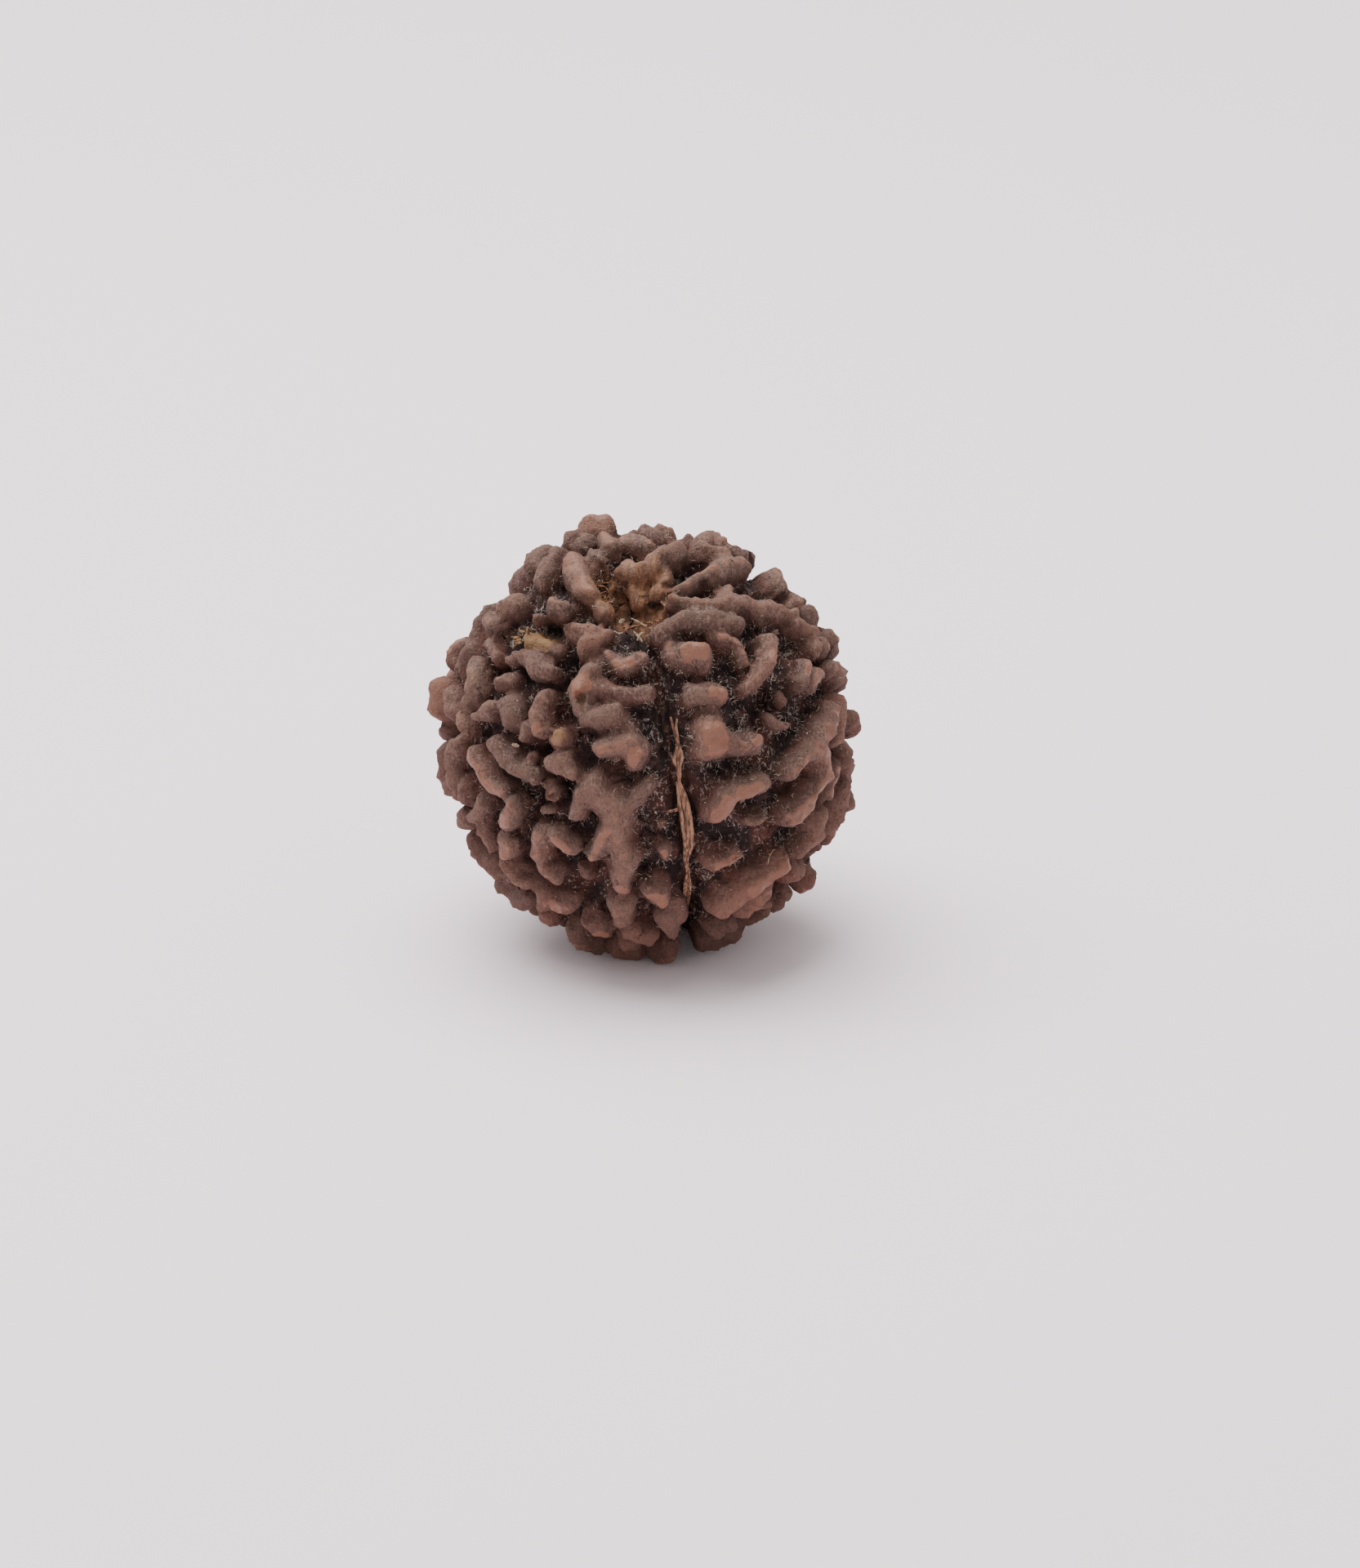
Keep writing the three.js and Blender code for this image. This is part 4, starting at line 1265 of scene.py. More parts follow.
@dataclass(frozen=True)
class StoneFinish:
    """Dry red-brown stone: dark between the lobes, partly its own colour and partly painted shade,
    dusty mauve-brown on them, worn orange tops.

    Args:
        gap: the colour between the lobes, the stone's own dark deepened by painted shade.
        flank: on their sides.
        shoulder: near their tops.
        top: on their tops.
        red: where the stone is redder, in patches and where no dust lies.
        worn: where a top is worn bare.
        down: the matted down on the lobes.
        debris: bits of it in the gaps.
        pore: the pores, and the dark between the down's threads.
        pit_shade: painted shade at the bottom of the stalk hollow's pit and in the small pits.
        lining: the stalk hollow's felt.
        fibre: the threads in it.
        scar: the torn scar.
        turns: how the down's threads are turned about each axis, one layer after another.
        patch_size: the size of the redder patches, in millimetres, as are the other sizes.
        mottle_size: the size of the uneven tones.
        fine_size: the size of the finest relief.
        pore_gap: the distance between pores.
        thread_size: how wide the down's threads are.
        mottle_depth: the depth of the uneven relief.
        fine_depth: the depth of the finest.
        down_depth: the depth of the down.
        matt: the roughness where the stone isn't worn.
        polish: how much smoother it is where it is.
    """

    gap: Colour = linear(36, 27, 27)
    flank: Colour = linear(84, 59, 52)
    shoulder: Colour = linear(94, 69, 60)
    top: Colour = linear(99, 73, 62)
    red: Colour = linear(92, 54, 45)
    worn: Colour = linear(119, 78, 61)
    down: Colour = linear(128, 105, 94)
    debris: Colour = linear(162, 148, 139)
    pore: Colour = linear(40, 27, 26)
    pit_shade: Colour = linear(37, 28, 22)
    lining: Colour = linear(104, 76, 60)
    fibre: Colour = linear(142, 100, 74)
    scar: Colour = linear(120, 90, 61)
    turns: tuple[Colour, ...] = ((0.3, 0.2, 0.1), (0.9, 1.3, 0.5), (0.4, 2.2, 1.4))
    patch_size: float = 2.2
    mottle_size: float = 0.5
    fine_size: float = 0.13
    pore_gap: float = 0.34
    thread_size: float = 0.075
    mottle_depth: float = 0.14
    fine_depth: float = 0.08
    down_depth: float = 0.03
    matt: float = 0.84
    polish: float = 0.36

    def build(self) -> bpy.types.Material:
        """Makes the material.

        Returns:
            The material, which reads the marks on the stone's mesh.
        """
        sketch = ShaderSketch("rudraksha_stone_dry")
        broad = sketch.noise(self.patch_size)
        middle = sketch.noise(self.mottle_size, 4)
        fine = sketch.noise(self.fine_size, 4)
        uneven = sketch.maths("MULTIPLY", sketch.maths("SUBTRACT", middle, 0.5), 0.5)
        height = sketch.maths("ADD", sketch.mark("height"), uneven)
        # The colour darkens from the lobes' tops down their sides into the gaps: partly the stone's
        # own tones, partly painted shade between the lobes.
        stops = ((0.0, self.gap), (1.0, self.top), (0.4, self.flank), (0.8, self.shoulder))
        colour = sketch.ramp(height, stops)
        mottled = sketch.maths("ADD", sketch.fade(fine, 0.34, 0.66, 0.38), 0.81)
        colour = sketch.mix(1.0, colour, mottled, Blend.TIMES)
        redder = sketch.maths("MULTIPLY", sketch.fade(broad, 0.45, 0.68), 0.45)
        clean = sketch.maths("SUBTRACT", 1.0, sketch.mark("dusty"))
        clean = sketch.maths("MULTIPLY", clean, sketch.fade(height, 0.35, 0.8, 0.3))
        redder = sketch.maths("ADD", redder, clean)
        colour = sketch.mix(redder, colour, self.red)
        light = sketch.maths("ADD", sketch.maths("MULTIPLY", sketch.mark("tone"), 0.42), 0.81)
        colour = sketch.mix(1.0, colour, light, Blend.TIMES)
        warmer = sketch.maths("MULTIPLY", sketch.fade(height, 0.5, 1.0), 0.4)
        warmer = sketch.maths("MULTIPLY", warmer, sketch.fade(sketch.mark("tone"), 0.5, 1.0))
        colour = sketch.mix(warmer, colour, self.worn)
        pores = sketch.fade(sketch.cells(self.pore_gap), 0.3, 0.1, 0.7)
        pores = sketch.maths("MULTIPLY", pores, sketch.fade(middle, 0.45, 0.6))
        colour = sketch.mix(pores, colour, self.pore)
        worn = sketch.fade(sketch.mark("crest"), 0.1, 0.95)
        worn = sketch.maths("MULTIPLY", worn, sketch.mark("bare"))
        worn = sketch.maths("MULTIPLY", worn, sketch.fade(height, 0.45, 0.75))
        worn = sketch.maths("ADD", worn, sketch.maths("SUBTRACT", sketch.noise(0.5, 3), 0.5))
        worn = sketch.fade(worn, 0.4, 0.7)
        colour = sketch.mix(worn, colour, self.worn)
        colour, downy = self._downy(sketch, colour, height, worn)
        colour = self._hollow(sketch, colour)
        torn = sketch.noise(0.45, 4)
        scarred = sketch.maths("MULTIPLY", sketch.mark("scar"), sketch.fade(torn, 0.3, 0.46, 0.95))
        colour = sketch.mix(scarred, colour, self.scar)
        relief = sketch.bump(middle, self.mottle_depth)
        relief = sketch.bump(fine, self.fine_depth, relief)
        relief = sketch.bump(downy, self.down_depth, relief)
        rough = sketch.maths("SUBTRACT", self.matt, sketch.maths("MULTIPLY", worn, self.polish))
        # The shine falls to its least in the gaps and the pits, keeping the painted shade there
        # dark.
        shine = sketch.maths("SUBTRACT", sketch.fade(height, 0.1, 0.8, 0.4), sketch.mark("pit"))
        shine = sketch.maths("MAXIMUM", shine, 0.1)
        return sketch.finish(colour, rough, relief, shine)

    def _downy(
        self, sketch: ShaderSketch, colour: Socket, height: Socket, worn: Socket
    ) -> tuple[Socket, Socket]:
        """Lays matted pale down over the lobes and bits of it into the gaps.

        Args:
            sketch: the material in the making.
            colour: the colour below.
            height: how high a point stands on its lobe.
            worn: where the lobes are worn bare.

        Returns:
            The colour, and the down's relief.
        """
        patches = sketch.noise(1.1, 3)
        on_lobes = sketch.fade(height, 0.3, 0.8)
        on_lobes = sketch.maths("MULTIPLY", on_lobes, sketch.fade(patches, 0.3, 0.6))
        on_lobes = sketch.maths("MULTIPLY", on_lobes, sketch.maths("SUBTRACT", 1.0, worn))
        thin = sketch.maths("SUBTRACT", 1.0, sketch.fade(height, 0.82, 1.05, 0.55))
        on_lobes = sketch.maths("MULTIPLY", on_lobes, thin)
        dusty = sketch.maths("MULTIPLY", sketch.mark("dusty"), 0.65)
        on_lobes = sketch.maths("MULTIPLY", on_lobes, sketch.maths("ADD", dusty, 0.35))
        in_gaps = sketch.fade(height, 0.42, 0.12)
        in_gaps = sketch.maths("MULTIPLY", in_gaps, sketch.fade(patches, 0.45, 0.62))
        relief = sketch.maths("MULTIPLY", patches, 0.0)
        for i, turn in enumerate(self.turns):
            streaks = sketch.streaks(self.thread_size, 3.0 + i, turn)
            strands = sketch.fade(streaks, 0.55, 0.64)
            dark = sketch.fade(streaks, 0.44, 0.36, 0.4)
            colour = sketch.mix(sketch.maths("MULTIPLY", dark, on_lobes), colour, self.pore)
            pale = sketch.maths("MULTIPLY", strands, on_lobes)
            colour = sketch.mix(sketch.maths("MULTIPLY", pale, 0.4), colour, self.down)
            bits = sketch.maths("MULTIPLY", sketch.fade(streaks, 0.62, 0.68), in_gaps)
            colour = sketch.mix(sketch.maths("MULTIPLY", bits, 0.7), colour, self.debris)
            relief = sketch.maths("MAXIMUM", relief, sketch.maths("MAXIMUM", pale, bits))
        return colour, relief

    def _hollow(self, sketch: ShaderSketch, colour: Socket) -> Socket:
        """Lines the stalk hollow with torn fibre, with painted shade darker towards its bottom and
        in the small pits.

        Args:
            sketch: the material in the making.
            colour: the colour below.

        Returns:
            The colour with the lining.
        """
        threads = sketch.streaks(0.16, 7.0, (0.0, -0.8, 1.5))
        clumps = sketch.noise(0.9, 3)
        lined = sketch.fade(clumps, 0.3, 0.55, 0.85)
        lined = sketch.maths("MULTIPLY", sketch.mark("hollow"), lined)
        shade = sketch.mix(sketch.fade(threads, 0.35, 0.62), self.lining, self.fibre)
        colour = sketch.mix(lined, colour, shade)
        felt = sketch.maths("MULTIPLY", sketch.mark("seam"), sketch.fade(threads, 0.5, 0.66, 0.35))
        colour = sketch.mix(felt, colour, self.lining)
        # Painted shade: the pit mark darkens the hollow's bottom and the small pits.
        return sketch.mix(sketch.maths("MULTIPLY", sketch.mark("pit"), 0.85), colour, self.pit_shade)


@dataclass(frozen=True)
class FibreFinish:
    """Dry plant fibre, in two shades that run together.

    Args:
        name: the material's name.
        dark: the darker shade.
        pale: the lighter shade.
    """

    name: str
    dark: Colour
    pale: Colour

    def build(self) -> bpy.types.Material:
        """Makes the material.

        Returns:
            The material, in long streaks of its two shades.
        """
        sketch = ShaderSketch(self.name)
        patches = sketch.noise(0.16, 3, (1.0, 1.0, 0.22))
        colour = sketch.mix(sketch.fade(patches, 0.38, 0.6), self.dark, self.pale)
        specks = sketch.fade(sketch.noise(0.22, 3), 0.62, 0.7, 0.7)
        colour = sketch.mix(specks, colour, self.dark)
        return sketch.finish(colour, 0.8, sketch.bump(sketch.noise(0.08, 3), 0.02), 0.25)


TAN_FIBRE = FibreFinish("fibre_tan", linear(84, 60, 50), linear(150, 113, 90))
STRAW_FIBRE = FibreFinish("fibre_straw", linear(98, 72, 50), linear(138, 108, 76))
ORANGE_FIBRE = FibreFinish("fibre_orange", linear(86, 58, 42), linear(146, 104, 72))
SHRED_FIBRE = FibreFinish("fibre_shred", linear(92, 76, 62), linear(152, 132, 112))
PALE_FLUFF = FibreFinish("fluff_pale", linear(108, 90, 80), linear(182, 168, 156))


def thread(path: Array, radii: Array, sides: int = 5) -> bpy.types.Mesh:
    """Draws a closed thread along a path.

    Args:
        path: the points that it follows, as rows in millimetres.
        radii: its radius at each of them.
        sides: how many sides it has.

    Returns:
        The thread's mesh.
    """
    bm = bmesh.new()
    bmesh.ops.create_grid(bm, x_segments=sides, y_segments=len(path) - 1, size=1.0)
    verts = list(bm.verts)
    ahead = unit(np.gradient(path, axis=0) + 1e-9)
    lean = np.array([0.31, 0.17, 0.93]) if abs(ahead[0][2]) < 0.8 else np.array([1.0, 0, 0])
    for i, (at, radius) in enumerate(zip(path, radii)):
        side = unit(np.cross(ahead[i], lean))
        other = np.cross(ahead[i], side)
        for k in range(sides + 1):
            angle = FULL_TURN * (k % sides) / sides
            spread = side * math.cos(angle) + other * math.sin(angle)
            verts[i * (sides + 1) + k].co = at + radius * spread
    # The grid is rolled up now: its last column lies on its first.
    bmesh.ops.remove_doubles(bm, verts=bm.verts, dist=SAME_PLACE)
    bmesh.ops.holes_fill(bm, edges=bm.edges)
    bmesh.ops.recalc_face_normals(bm, faces=bm.faces)
    mesh = bpy.data.meshes.new("thread")
    bm.to_mesh(mesh)
    bm.free()
    return mesh


def curve_through(points: Array, steps: int) -> Array:
    """Draws a smooth path through a few points.

    Args:
        points: the points, as rows.
        steps: how many points the path gets.

    Returns:
        The path's points, as rows.
    """
    padded = np.vstack([2 * points[0] - points[1], points, 2 * points[-1] - points[-2]])
    path = []
    for share in np.linspace(0, len(points) - 1 - 1e-6, steps):
        i, t = int(share), share % 1
        a, b, c, d = padded[i : i + 4]
        path.append(
            b + 0.5 * t * (c - a + t * (2 * a - 5 * b + 4 * c - d + t * (3 * (b - c) + d - a)))
        )
    return np.array(path)


def join_piece(
    name: str, meshes: Iterable[bpy.types.Mesh], form: StoneForm, finish: FibreFinish
) -> bpy.types.Object:
    """Joins meshes drawn from the stone's centre into one finished piece.

    Args:
        name: the piece's name.
        meshes: the meshes, which are used up.
        form: the stone that they lie on.
        finish: what they are made of.

    Returns:
        The piece, riding on the stone.
    """
    bm = bmesh.new()
    for mesh in meshes:
        bm.from_mesh(mesh)
        bpy.data.meshes.remove(mesh)
    move = Matrix.Scale(MM, 4) @ Matrix.Translation(form.centre)
    bmesh.ops.transform(bm, matrix=move, verts=bm.verts)
    joined = bpy.data.meshes.new(name)
    bm.to_mesh(joined)
    bm.free()
    joined.shade_smooth()
    joined.materials.append(finish.build())
    piece = bpy.data.objects.new(name, joined)
    bpy.context.scene.collection.objects.link(piece)
    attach(piece, BODY)
    log.info("%s: %d faces", name, len(joined.polygons))
    return piece


@dataclass
class SeamStrands:
    """Flattened tan strands of the dried husk, left in the seams.

    Args:
        form: the stone that they lie in.
        drawn: the strands in front, each as points with its half width: right, up, half width.
        sunk: how far they lie below the lobes' tops.
        threads: how many threads make a strand.
        hidden_seed: picks the strands that the front view doesn't show.
        tries: how many are tried in each seam.
        bends: how many points such a strand runs through.
        starts: the range of angles from the stalk end at which they start.
        spans: the range of angles that they cover.
        halves: the range of their half widths.
        front_from: how near to the eye the front view's part starts, which gets none.
    """

    form: StoneForm
    drawn: tuple[tuple[tuple[float, float, float], ...], ...] = (
        (
            (1.8, -2.5, 0.2),
            (2.1, -3.6, 0.39),
            (2.3, -4.8, 0.36),
            (2.4, -6.0, 0.28),
            (2.25, -6.9, 0.13),
            (2.35, -7.7, 0.09),
            (2.3, -8.5, 0.2),
            (2.25, -9.6, 0.12),
        ),
        ((2.2, -3.9, 0.12), (1.7, -4.15, 0.1), (1.2, -4.2, 0.05)),
        ((1.8, -0.4, 0.12), (1.8, -1.1, 0.27), (1.85, -1.7, 0.2), (1.85, -2.6, 0.1)),
        ((1.35, 1.1, 0.06), (1.6, 0.3, 0.08), (1.8, -0.5, 0.12)),
        ((1.75, 1.0, 0.05), (1.7, 0.3, 0.07), (1.85, -0.5, 0.1)),
    )
    sunk: float = 1.55
    threads: int = 6
    hidden_seed: int = 3
    tries: int = 5
    bends: int = 5
    starts: tuple[float, float] = (0.5, 2.5)
    spans: tuple[float, float] = (0.12, 0.45)
    halves: tuple[float, float] = (0.06, 0.22)
    front_from: float = 5.0

    def build(self) -> bpy.types.Object:
        """Models the strands in front as drawn and shorter ones in the other seams.

        Returns:
            The piece that holds them all.
        """
        rng = np.random.default_rng(self.hidden_seed)
        meshes = []
        for strand in self.drawn:
            points = np.array(
                [self.form.seen_in_front(x, y, self.sunk) for x, y, _ in strand]
            )
            widths = np.array([[width, 0.0, 0.0] for _, _, width in strand])
            meshes += self._bundle(points, widths, rng)
        for seam in self.form.seams():
            for _ in range(self.tries):
                start = rng.uniform(*self.starts)
                span = rng.uniform(*self.spans)
                points = [
                    self._in_seam(seam, start + span * i / (self.bends - 1), rng)
                    for i in range(self.bends)
                ]
                if max(point @ self.form.to_eye for point in points) > self.front_from:
                    continue
                widths = np.zeros((self.bends, 3))
                widths[:, 0] = rng.uniform(*self.halves)
                meshes += self._bundle(np.array(points), widths, rng)
        return join_piece("seam_strands", meshes, self.form, TAN_FIBRE)

    def _in_seam(self, seam: float, polar: float, rng: np.random.Generator) -> Array:
        """Gives a point just above a seam's floor.

        Args:
            seam: the seam's angle round the axis.
            polar: the angle from the stalk end.
            rng: where its small shifts come from.

        Returns:
            The point, from the stone's centre.
        """
        form = self.form
        start = np.array([1.0, 0, 0])
        start = unit(start - (start @ form.axis) * form.axis)
        side = np.cross(form.axis, start)
        turn = seam + rng.normal(0, 0.012)
        way = form.axis * math.cos(polar)
        way = way + math.sin(polar) * (start * math.cos(turn) + side * math.sin(turn))
        return way * (form.reach(way, form.relief + 0.45) + rng.uniform(0, 0.2))

    def _bundle(
        self, points: Array, widths: Array, rng: np.random.Generator
    ) -> list[bpy.types.Mesh]:
        """Twists a few threads round a path, close enough to read as one flat strand.

        Args:
            points: the points that it follows, as rows.
            widths: its half width at each of them, in the first column.
            rng: where its small shifts come from.

        Returns:
            The threads' meshes.
        """
        steps = 6 * len(points)
        path = curve_through(points, steps)
        width = curve_through(widths, steps)[:, 0]
        ahead = unit(np.gradient(path, axis=0))
        flat = unit(np.cross(ahead, unit(path)))
        made = []
        for i in range(self.threads):
            shift = (i + 0.5) / self.threads * 2 - 1
            swing = 0.35 * np.sin(np.linspace(0, rng.uniform(3, 9), steps) + rng.uniform(0, 6))
            offset = (shift + swing)[:, None] * flat * width[:, None] * 0.8
            lift = unit(path) * ((0.7 * shift * shift + rng.uniform(-0.3, 0.1)) * width)[:, None]
            ends = np.sin(np.linspace(0.15, math.pi - 0.15, steps)) ** 0.3
            radii = np.maximum(width * rng.uniform(0.3, 0.5), 0.035) * ends
            made.append(thread(path + offset + lift, radii))
        return made


@dataclass
class StalkFibres:
    """Torn orange-brown fibres that line the hollow at the stalk end.

    Args:
        form: the stone that they line.
        count: how many there are.
        seed: picks their places.
        outer: the range of distances from the axis at which they start.
        inner: the range at which they end.
        thickness: the range of their radii.
        path_points: how many points each is drawn through.
    """

    form: StoneForm
    count: int = 90
    seed: int = 11
    outer: tuple[float, float] = (1.5, 2.7)
    inner: tuple[float, float] = (0.7, 1.4)
    thickness: tuple[float, float] = (0.02, 0.06)
    path_points: int = 10

    def build(self) -> bpy.types.Object:
        """Models the fibres, from the rim down to the pit.

        Returns:
            The piece that holds them all.
        """
        form = self.form
        rng = np.random.default_rng(self.seed)
        start = unit(np.array([1.0, 0, 0]) - form.axis[0] * form.axis)
        side = np.cross(form.axis, start)
        rim, heights = zip(*form.hollow)
        meshes = []
        for _ in range(self.count):
            turn = rng.uniform(0, FULL_TURN)
            outer = rng.uniform(*self.outer)
            inner = rng.uniform(*self.inner)
            points = []
            for share in np.linspace(0, 1, 5):
                across = outer + (inner - outer) * share
                angle = turn + rng.normal(0, 0.12)
                height = np.interp(across, rim, heights) + rng.uniform(0.0, 0.25)
                spread = start * math.cos(angle) + side * math.sin(angle)
                points.append(form.axis * height + spread * across)
            path = curve_through(np.array(points), self.path_points)
            thick = rng.uniform(*self.thickness)
            radii = np.linspace(thick, thick * 0.5, self.path_points)
            meshes.append(thread(path, radii, 4))
        return join_piece("stalk_fibres", meshes, form, ORANGE_FIBRE)


@dataclass
class TornBits:
    """Straw-coloured shreds round the torn scar, and loose bits in front of the hollow.

    Args:
        form: the stone that they lie on.
        middle: the scar's middle in the front view: right and up.
        count: how many shreds it has.
        seed: picks them.
        turns: the range of directions that they point in.
        lengths: the range of their lengths.
        thickness: the range of their radii.
        outline: a shred's radius along its length, as shares of its thickest.
        loose: the loose bits, each as points with its radius: right, up and radius.
        bit_points: how many points each bit is drawn through.
    """

    form: StoneForm
    middle: tuple[float, float] = (-6.5, 5.5)
    count: int = 14
    seed: int = 31
    turns: tuple[float, float] = (1.5, 3.7)
    lengths: tuple[float, float] = (0.3, 0.8)
    thickness: tuple[float, float] = (0.04, 0.11)
    outline: tuple[float, ...] = (0.6, 1.0, 1.0, 0.8, 0.6, 0.4, 0.15)
    bit_points: int = 8
    loose: tuple[tuple[tuple[float, float, float], ...], ...] = (
        ((-0.84, 6.66, 0.03), (-0.4, 6.45, 0.04), (0.06, 6.15, 0.025)),
        ((-1.8, 5.95, 0.03), (-1.55, 5.8, 0.05), (-1.3, 5.85, 0.03)),
        ((-0.7, 5.9, 0.04), (-0.4, 5.6, 0.07), (-0.2, 5.3, 0.04)),
        ((-0.5, 5.4, 0.04), (-0.35, 5.75, 0.07), (-0.1, 5.85, 0.04)),
        ((-1.5, 6.4, 0.08), (-1.35, 6.5, 0.14), (-1.2, 6.55, 0.08)),
        ((-7.55, -0.45, 0.08), (-7.35, -0.5, 0.12), (-7.2, -0.55, 0.06)),
        ((6.9, -7.3, 0.02), (7.0, -6.8, 0.025), (7.25, -6.4, 0.02)),
    )

    def build(self) -> None:
        """Models the shreds and the bits."""
        form = self.form
        rng = np.random.default_rng(self.seed)
        meshes = []
        for _ in range(self.count):
            turn = rng.uniform(*self.turns)
            length = rng.uniform(*self.lengths)
            points = []
            for i in range(4):
                share = 0.7 + length * i / 3
                right = self.middle[0] + 0.95 * share * math.cos(turn) + rng.normal(0, 0.03)
                up = self.middle[1] + 0.6 * share * math.sin(turn) + rng.normal(0, 0.03)
                points.append(form.seen_in_front(right, up, 0.75 - 0.12 * i))
            thick = rng.uniform(*self.thickness)
            path = curve_through(np.array(points), len(self.outline))
            meshes.append(thread(path, thick * np.array(self.outline), 4))
        join_piece("torn_bits", meshes, form, STRAW_FIBRE)
        meshes = []
        for bit in self.loose:
            points = [form.seen_in_front(x, y, 0.1) for x, y, _ in bit]
            widths = np.array([[width, 0.0, 0.0] for _, _, width in bit])
            path = curve_through(np.array(points), self.bit_points)
            radii = curve_through(widths, self.bit_points)[:, 0]
            meshes.append(thread(path, radii, 6))
        join_piece("loose_bits", meshes, form, SHRED_FIBRE)


@dataclass
class Fluff:
    """Short pale hairs and grains of dust caught on the stone, thickest in the front gaps.

    Args:
        form: the stone's sizes.
        hairs: how many hairs there are.
        grains: how many grains.
        patches: where they lie thicker and thinner.
        seed: picks them.
        hair_forms: how many different hairs there are.
        grain_forms: how many different grains.
        hair_radii: a hair's radius at each of its points.
        grain_radius: a grain's radius.
        dense_right: the range, to the right in the front view, where they lie thickest.
        dense_up: the same range upwards.
        clear_foot: how far above the ground they start.
        gap_height: the height on the lobes where most lie, and how wide that band is.
    """

    form: StoneForm
    hairs: int = 5600
    grains: int = 1000
    patches: Ripple = Ripple(1.5, 9)
    seed: int = 21
    hair_forms: int = 8
    grain_forms: int = 5
    hair_radii: tuple[float, ...] = (0.012, 0.013, 0.011, 0.006)
    grain_radius: float = 0.045
    dense_right: tuple[float, float] = (-2.5, 9.5)
    dense_up: tuple[float, float] = (-7.5, 6.5)
    clear_foot: float = 0.8
    gap_height: tuple[float, float] = (0.28, 0.32)

    def build(self, stone: bpy.types.Object) -> bpy.types.Object:
        """Scatters the hairs and grains over the stone.

        Args:
            stone: the finished stone, whose points they stand on.

        Returns:
            The piece that holds them all.
        """
        rng = np.random.default_rng(self.seed)
        mesh = stone.data
        count = len(mesh.vertices)
        points, normals, height = np.empty(count * 3), np.empty(count * 3), np.empty(count)
        mesh.vertices.foreach_get("co", points)
        mesh.vertices.foreach_get("normal", normals)
        mesh.attributes["height"].data.foreach_get("value", height)
        points = points.reshape(-1, 3) / MM - np.array(self.form.centre)
        normals = normals.reshape(-1, 3)
        clear = points[:, 2] > -self.form.centre[2] + self.clear_foot
        right = points[:, 0]
        up = points @ self.form.up_in_front
        dense = points @ self.form.to_eye > 0
        dense &= (right > self.dense_right[0]) & (right < self.dense_right[1])
        dense &= (up > self.dense_up[0]) & (up < self.dense_up[1])
        middle, band = self.gap_height
        low = np.exp(-(((height - middle) / band) ** 2)) * clear
        low *= smooth_step(-0.9, 1.1, self.patches(points)) ** 2 + 0.04
        hair_weight = low * np.where(dense, 5.0, 0.8)
        grain_weight = low * np.where(dense, 3.0, 1.0)
        meshes = self._scatter(self._hair_forms(rng), self.hairs, hair_weight, points, normals, rng)
        meshes += self._scatter(
            self._grain_forms(rng), self.grains, grain_weight, points, normals, rng
        )
        return join_piece("pale_fluff", meshes, self.form, PALE_FLUFF)

    def _hair_forms(self, rng: np.random.Generator) -> list[bpy.types.Mesh]:
        """Draws a few bent hairs that rise from their own origin.

        Args:
            rng: where their bends come from.

        Returns:
            Their meshes.
        """
        forms = []
        radii = np.array(self.hair_radii)
        for _ in range(self.hair_forms):
            points = np.cumsum(rng.normal(0, 0.08, (len(radii), 3)) + [0, 0, 0.07], axis=0)
            points -= points[0] + [0, 0, 0.05]
            forms.append(thread(points, radii, 3))
        return forms

    def _grain_forms(self, rng: np.random.Generator) -> list[bpy.types.Mesh]:
        """Shapes a few uneven grains.

        Args:
            rng: where their unevenness comes from.

        Returns:
            Their meshes.
        """
        forms = []
        for _ in range(self.grain_forms):
            bm = bmesh.new()
            bmesh.ops.create_icosphere(bm, subdivisions=1, radius=self.grain_radius)
            for vert in bm.verts:
                vert.co *= rng.uniform(0.6, 1.3)
            bmesh.ops.scale(bm, vec=(1.0, rng.uniform(0.6, 1), 0.6), verts=bm.verts)
            mesh = bpy.data.meshes.new("grain")
            bm.to_mesh(mesh)
            bm.free()
            forms.append(mesh)
        return forms

    def _scatter(
        self,
        forms: list[bpy.types.Mesh],
        count: int,
        weight: Array,
        points: Array,
        normals: Array,
        rng: np.random.Generator,
    ) -> list[bpy.types.Mesh]:
        """Copies small forms to places on the stone.

        Args:
            forms: what to copy.
            count: how many copies to make.
            weight: how likely each point is to get one.
            points: the stone's points.
            normals: its outward directions there.
            rng: where the draws come from.

        Returns:
            The copies.
        """
        chosen = rng.choice(len(points), count, replace=False, p=weight / weight.sum())
        made = []
        for row in chosen:
            lean = Vector(unit(normals[row] + rng.normal(0, 0.6, 3)))
            turn = lean.to_track_quat("Z", "Y").to_matrix().to_4x4()
            spin = Matrix.Rotation(rng.uniform(0, FULL_TURN), 4, "Z")
            size = Matrix.Scale(rng.uniform(0.6, 1.5), 4)
            copy = forms[rng.integers(len(forms))].copy()
            copy.transform(Matrix.Translation(Vector(points[row])) @ turn @ spin @ size)
            made.append(copy)
        for form in forms:
            bpy.data.meshes.remove(form)
        return made


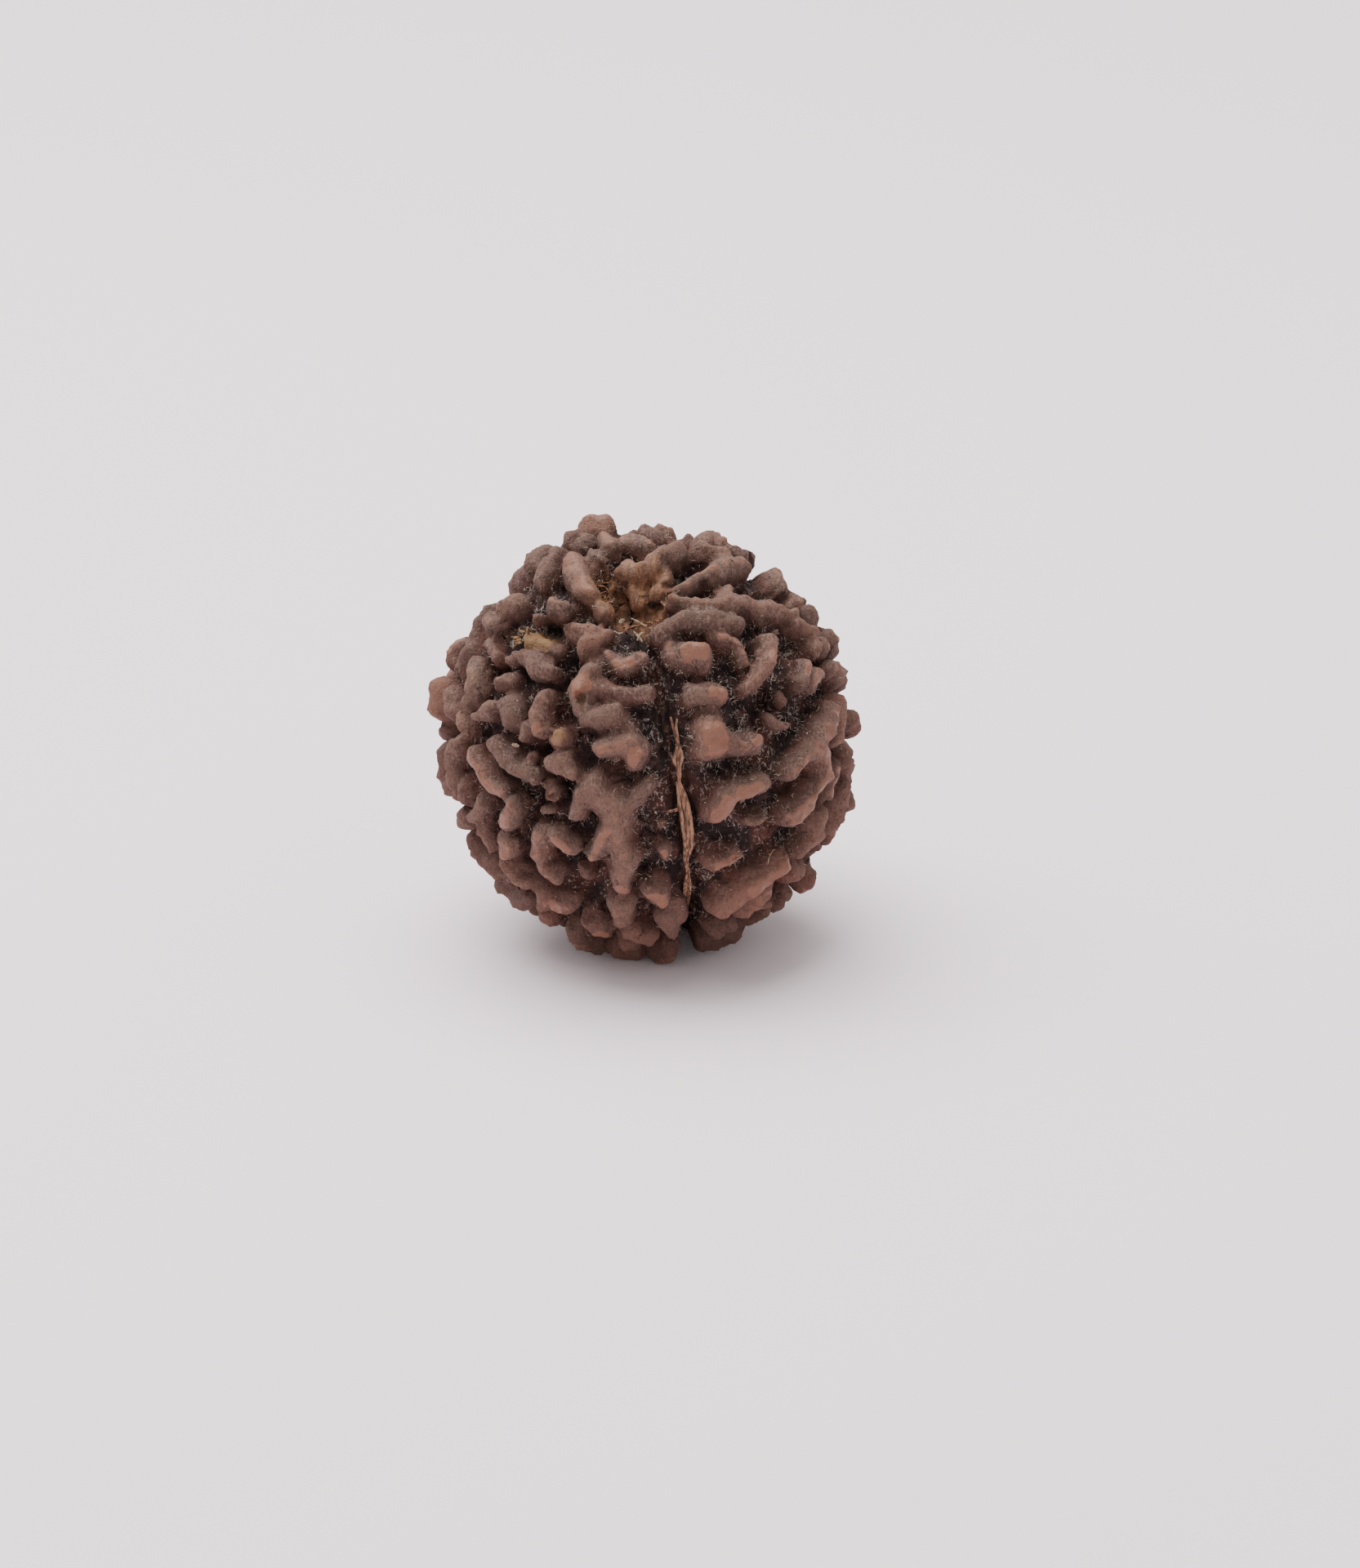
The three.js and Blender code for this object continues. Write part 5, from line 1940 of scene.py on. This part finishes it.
@dataclass
class Studio:
    """A plain pale floor, soft light from above and the camera in front.

    Args:
        form: the stone's sizes, which give the front view's direction.
        distance: from the stone to the camera.
        view_height: how much of the scene the picture's longer side shows there.
        aim: what the camera looks at in the front view: right and up.
        sensor: the width of the camera's sensor.
        sight: the nearest and farthest that the camera sees, in metres.
        floor_shade: the floor's colour.
        floor_size: half the floor's width, in metres.
        sky: the colour of the light from all round.
        sky_strength: its strength.
        lamps: each lamp's name, its place and width in metres, and its power in watts.
    """

    form: StoneForm
    distance: float = 450.0
    view_height: float = 90.57
    aim: tuple[float, float] = (1.91, -2.68)
    sensor: float = 36.0
    sight: tuple[float, float] = (0.01, 10.0)
    floor_shade: Colour = linear(249, 235, 240)
    floor_size: float = 3.0
    sky: Colour = (1.0, 0.985, 0.97)
    sky_strength: float = 0.83
    lamps: tuple[tuple[str, Colour, float, float], ...] = (
        ("overhead", (-0.08, 0.06, 0.4), 0.42, 3.85),
        ("behind_left", (-0.4, 0.1, 0.3), 0.3, 0.3),
    )

    def build(self) -> None:
        """Sets up the floor, the lights and the camera."""
        self._floor()
        self._lights()
        self._camera()
        log.info("studio: ready")

    def _floor(self) -> None:
        """Lays the floor."""
        bm = bmesh.new()
        bmesh.ops.create_grid(bm, x_segments=1, y_segments=1, size=self.floor_size)
        mesh = bpy.data.meshes.new("floor")
        bm.to_mesh(mesh)
        bm.free()
        sketch = ShaderSketch("floor_plain")
        normal = sketch.bump(sketch.noise(1.0, 2), 0.002)
        mesh.materials.append(sketch.finish(self.floor_shade, 0.9, normal))
        floor = bpy.data.objects.new("floor", mesh)
        bpy.context.scene.collection.objects.link(floor)

    def _lights(self) -> None:
        """Hangs a wide soft light above the stone and a weaker one behind it to its left."""
        world = bpy.data.worlds.new("studio")
        bpy.context.scene.world = world
        world.use_nodes = True
        background = world.node_tree.nodes["Background"]
        background.inputs["Color"].default_value = (*self.sky, 1.0)
        background.inputs["Strength"].default_value = self.sky_strength
        for name, place, size, power in self.lamps:
            light = bpy.data.lights.new(name, "AREA")
            light.size = size
            light.energy = power
            lamp = bpy.data.objects.new(name, light)
            bpy.context.scene.collection.objects.link(lamp)
            lamp.location = place
            lamp.rotation_euler = (-Vector(place)).to_track_quat("-Z", "Y").to_euler()

    def _camera(self) -> None:
        """Stands the camera where the front is seen from."""
        form = self.form
        data = bpy.data.cameras.new("camera")
        data.sensor_width = self.sensor
        data.lens = data.sensor_width * self.distance / self.view_height
        data.clip_start, data.clip_end = self.sight
        camera = bpy.data.objects.new("camera", data)
        bpy.context.scene.collection.objects.link(camera)
        place = form.from_front(*self.aim, self.distance)
        camera.location = Vector(form.to_metres(place))
        camera.rotation_euler = (math.pi / 2 - form.view_elevation, 0, 0)
        bpy.context.scene.camera = camera


def main() -> None:
    """Builds every piece of the seed and the studio, in order."""
    logging.basicConfig(level=logging.INFO, format="%(name)s: %(message)s")
    form = StoneForm()
    Studio(form).build()
    stone = LobedStone(form, LobePlan(form)).build()
    SeamStrands(form).build()
    StalkFibres(form).build()
    TornBits(form).build()
    Fluff(form).build(stone)
    bpy.context.view_layer.update()


if __name__ == "__main__":
    main()
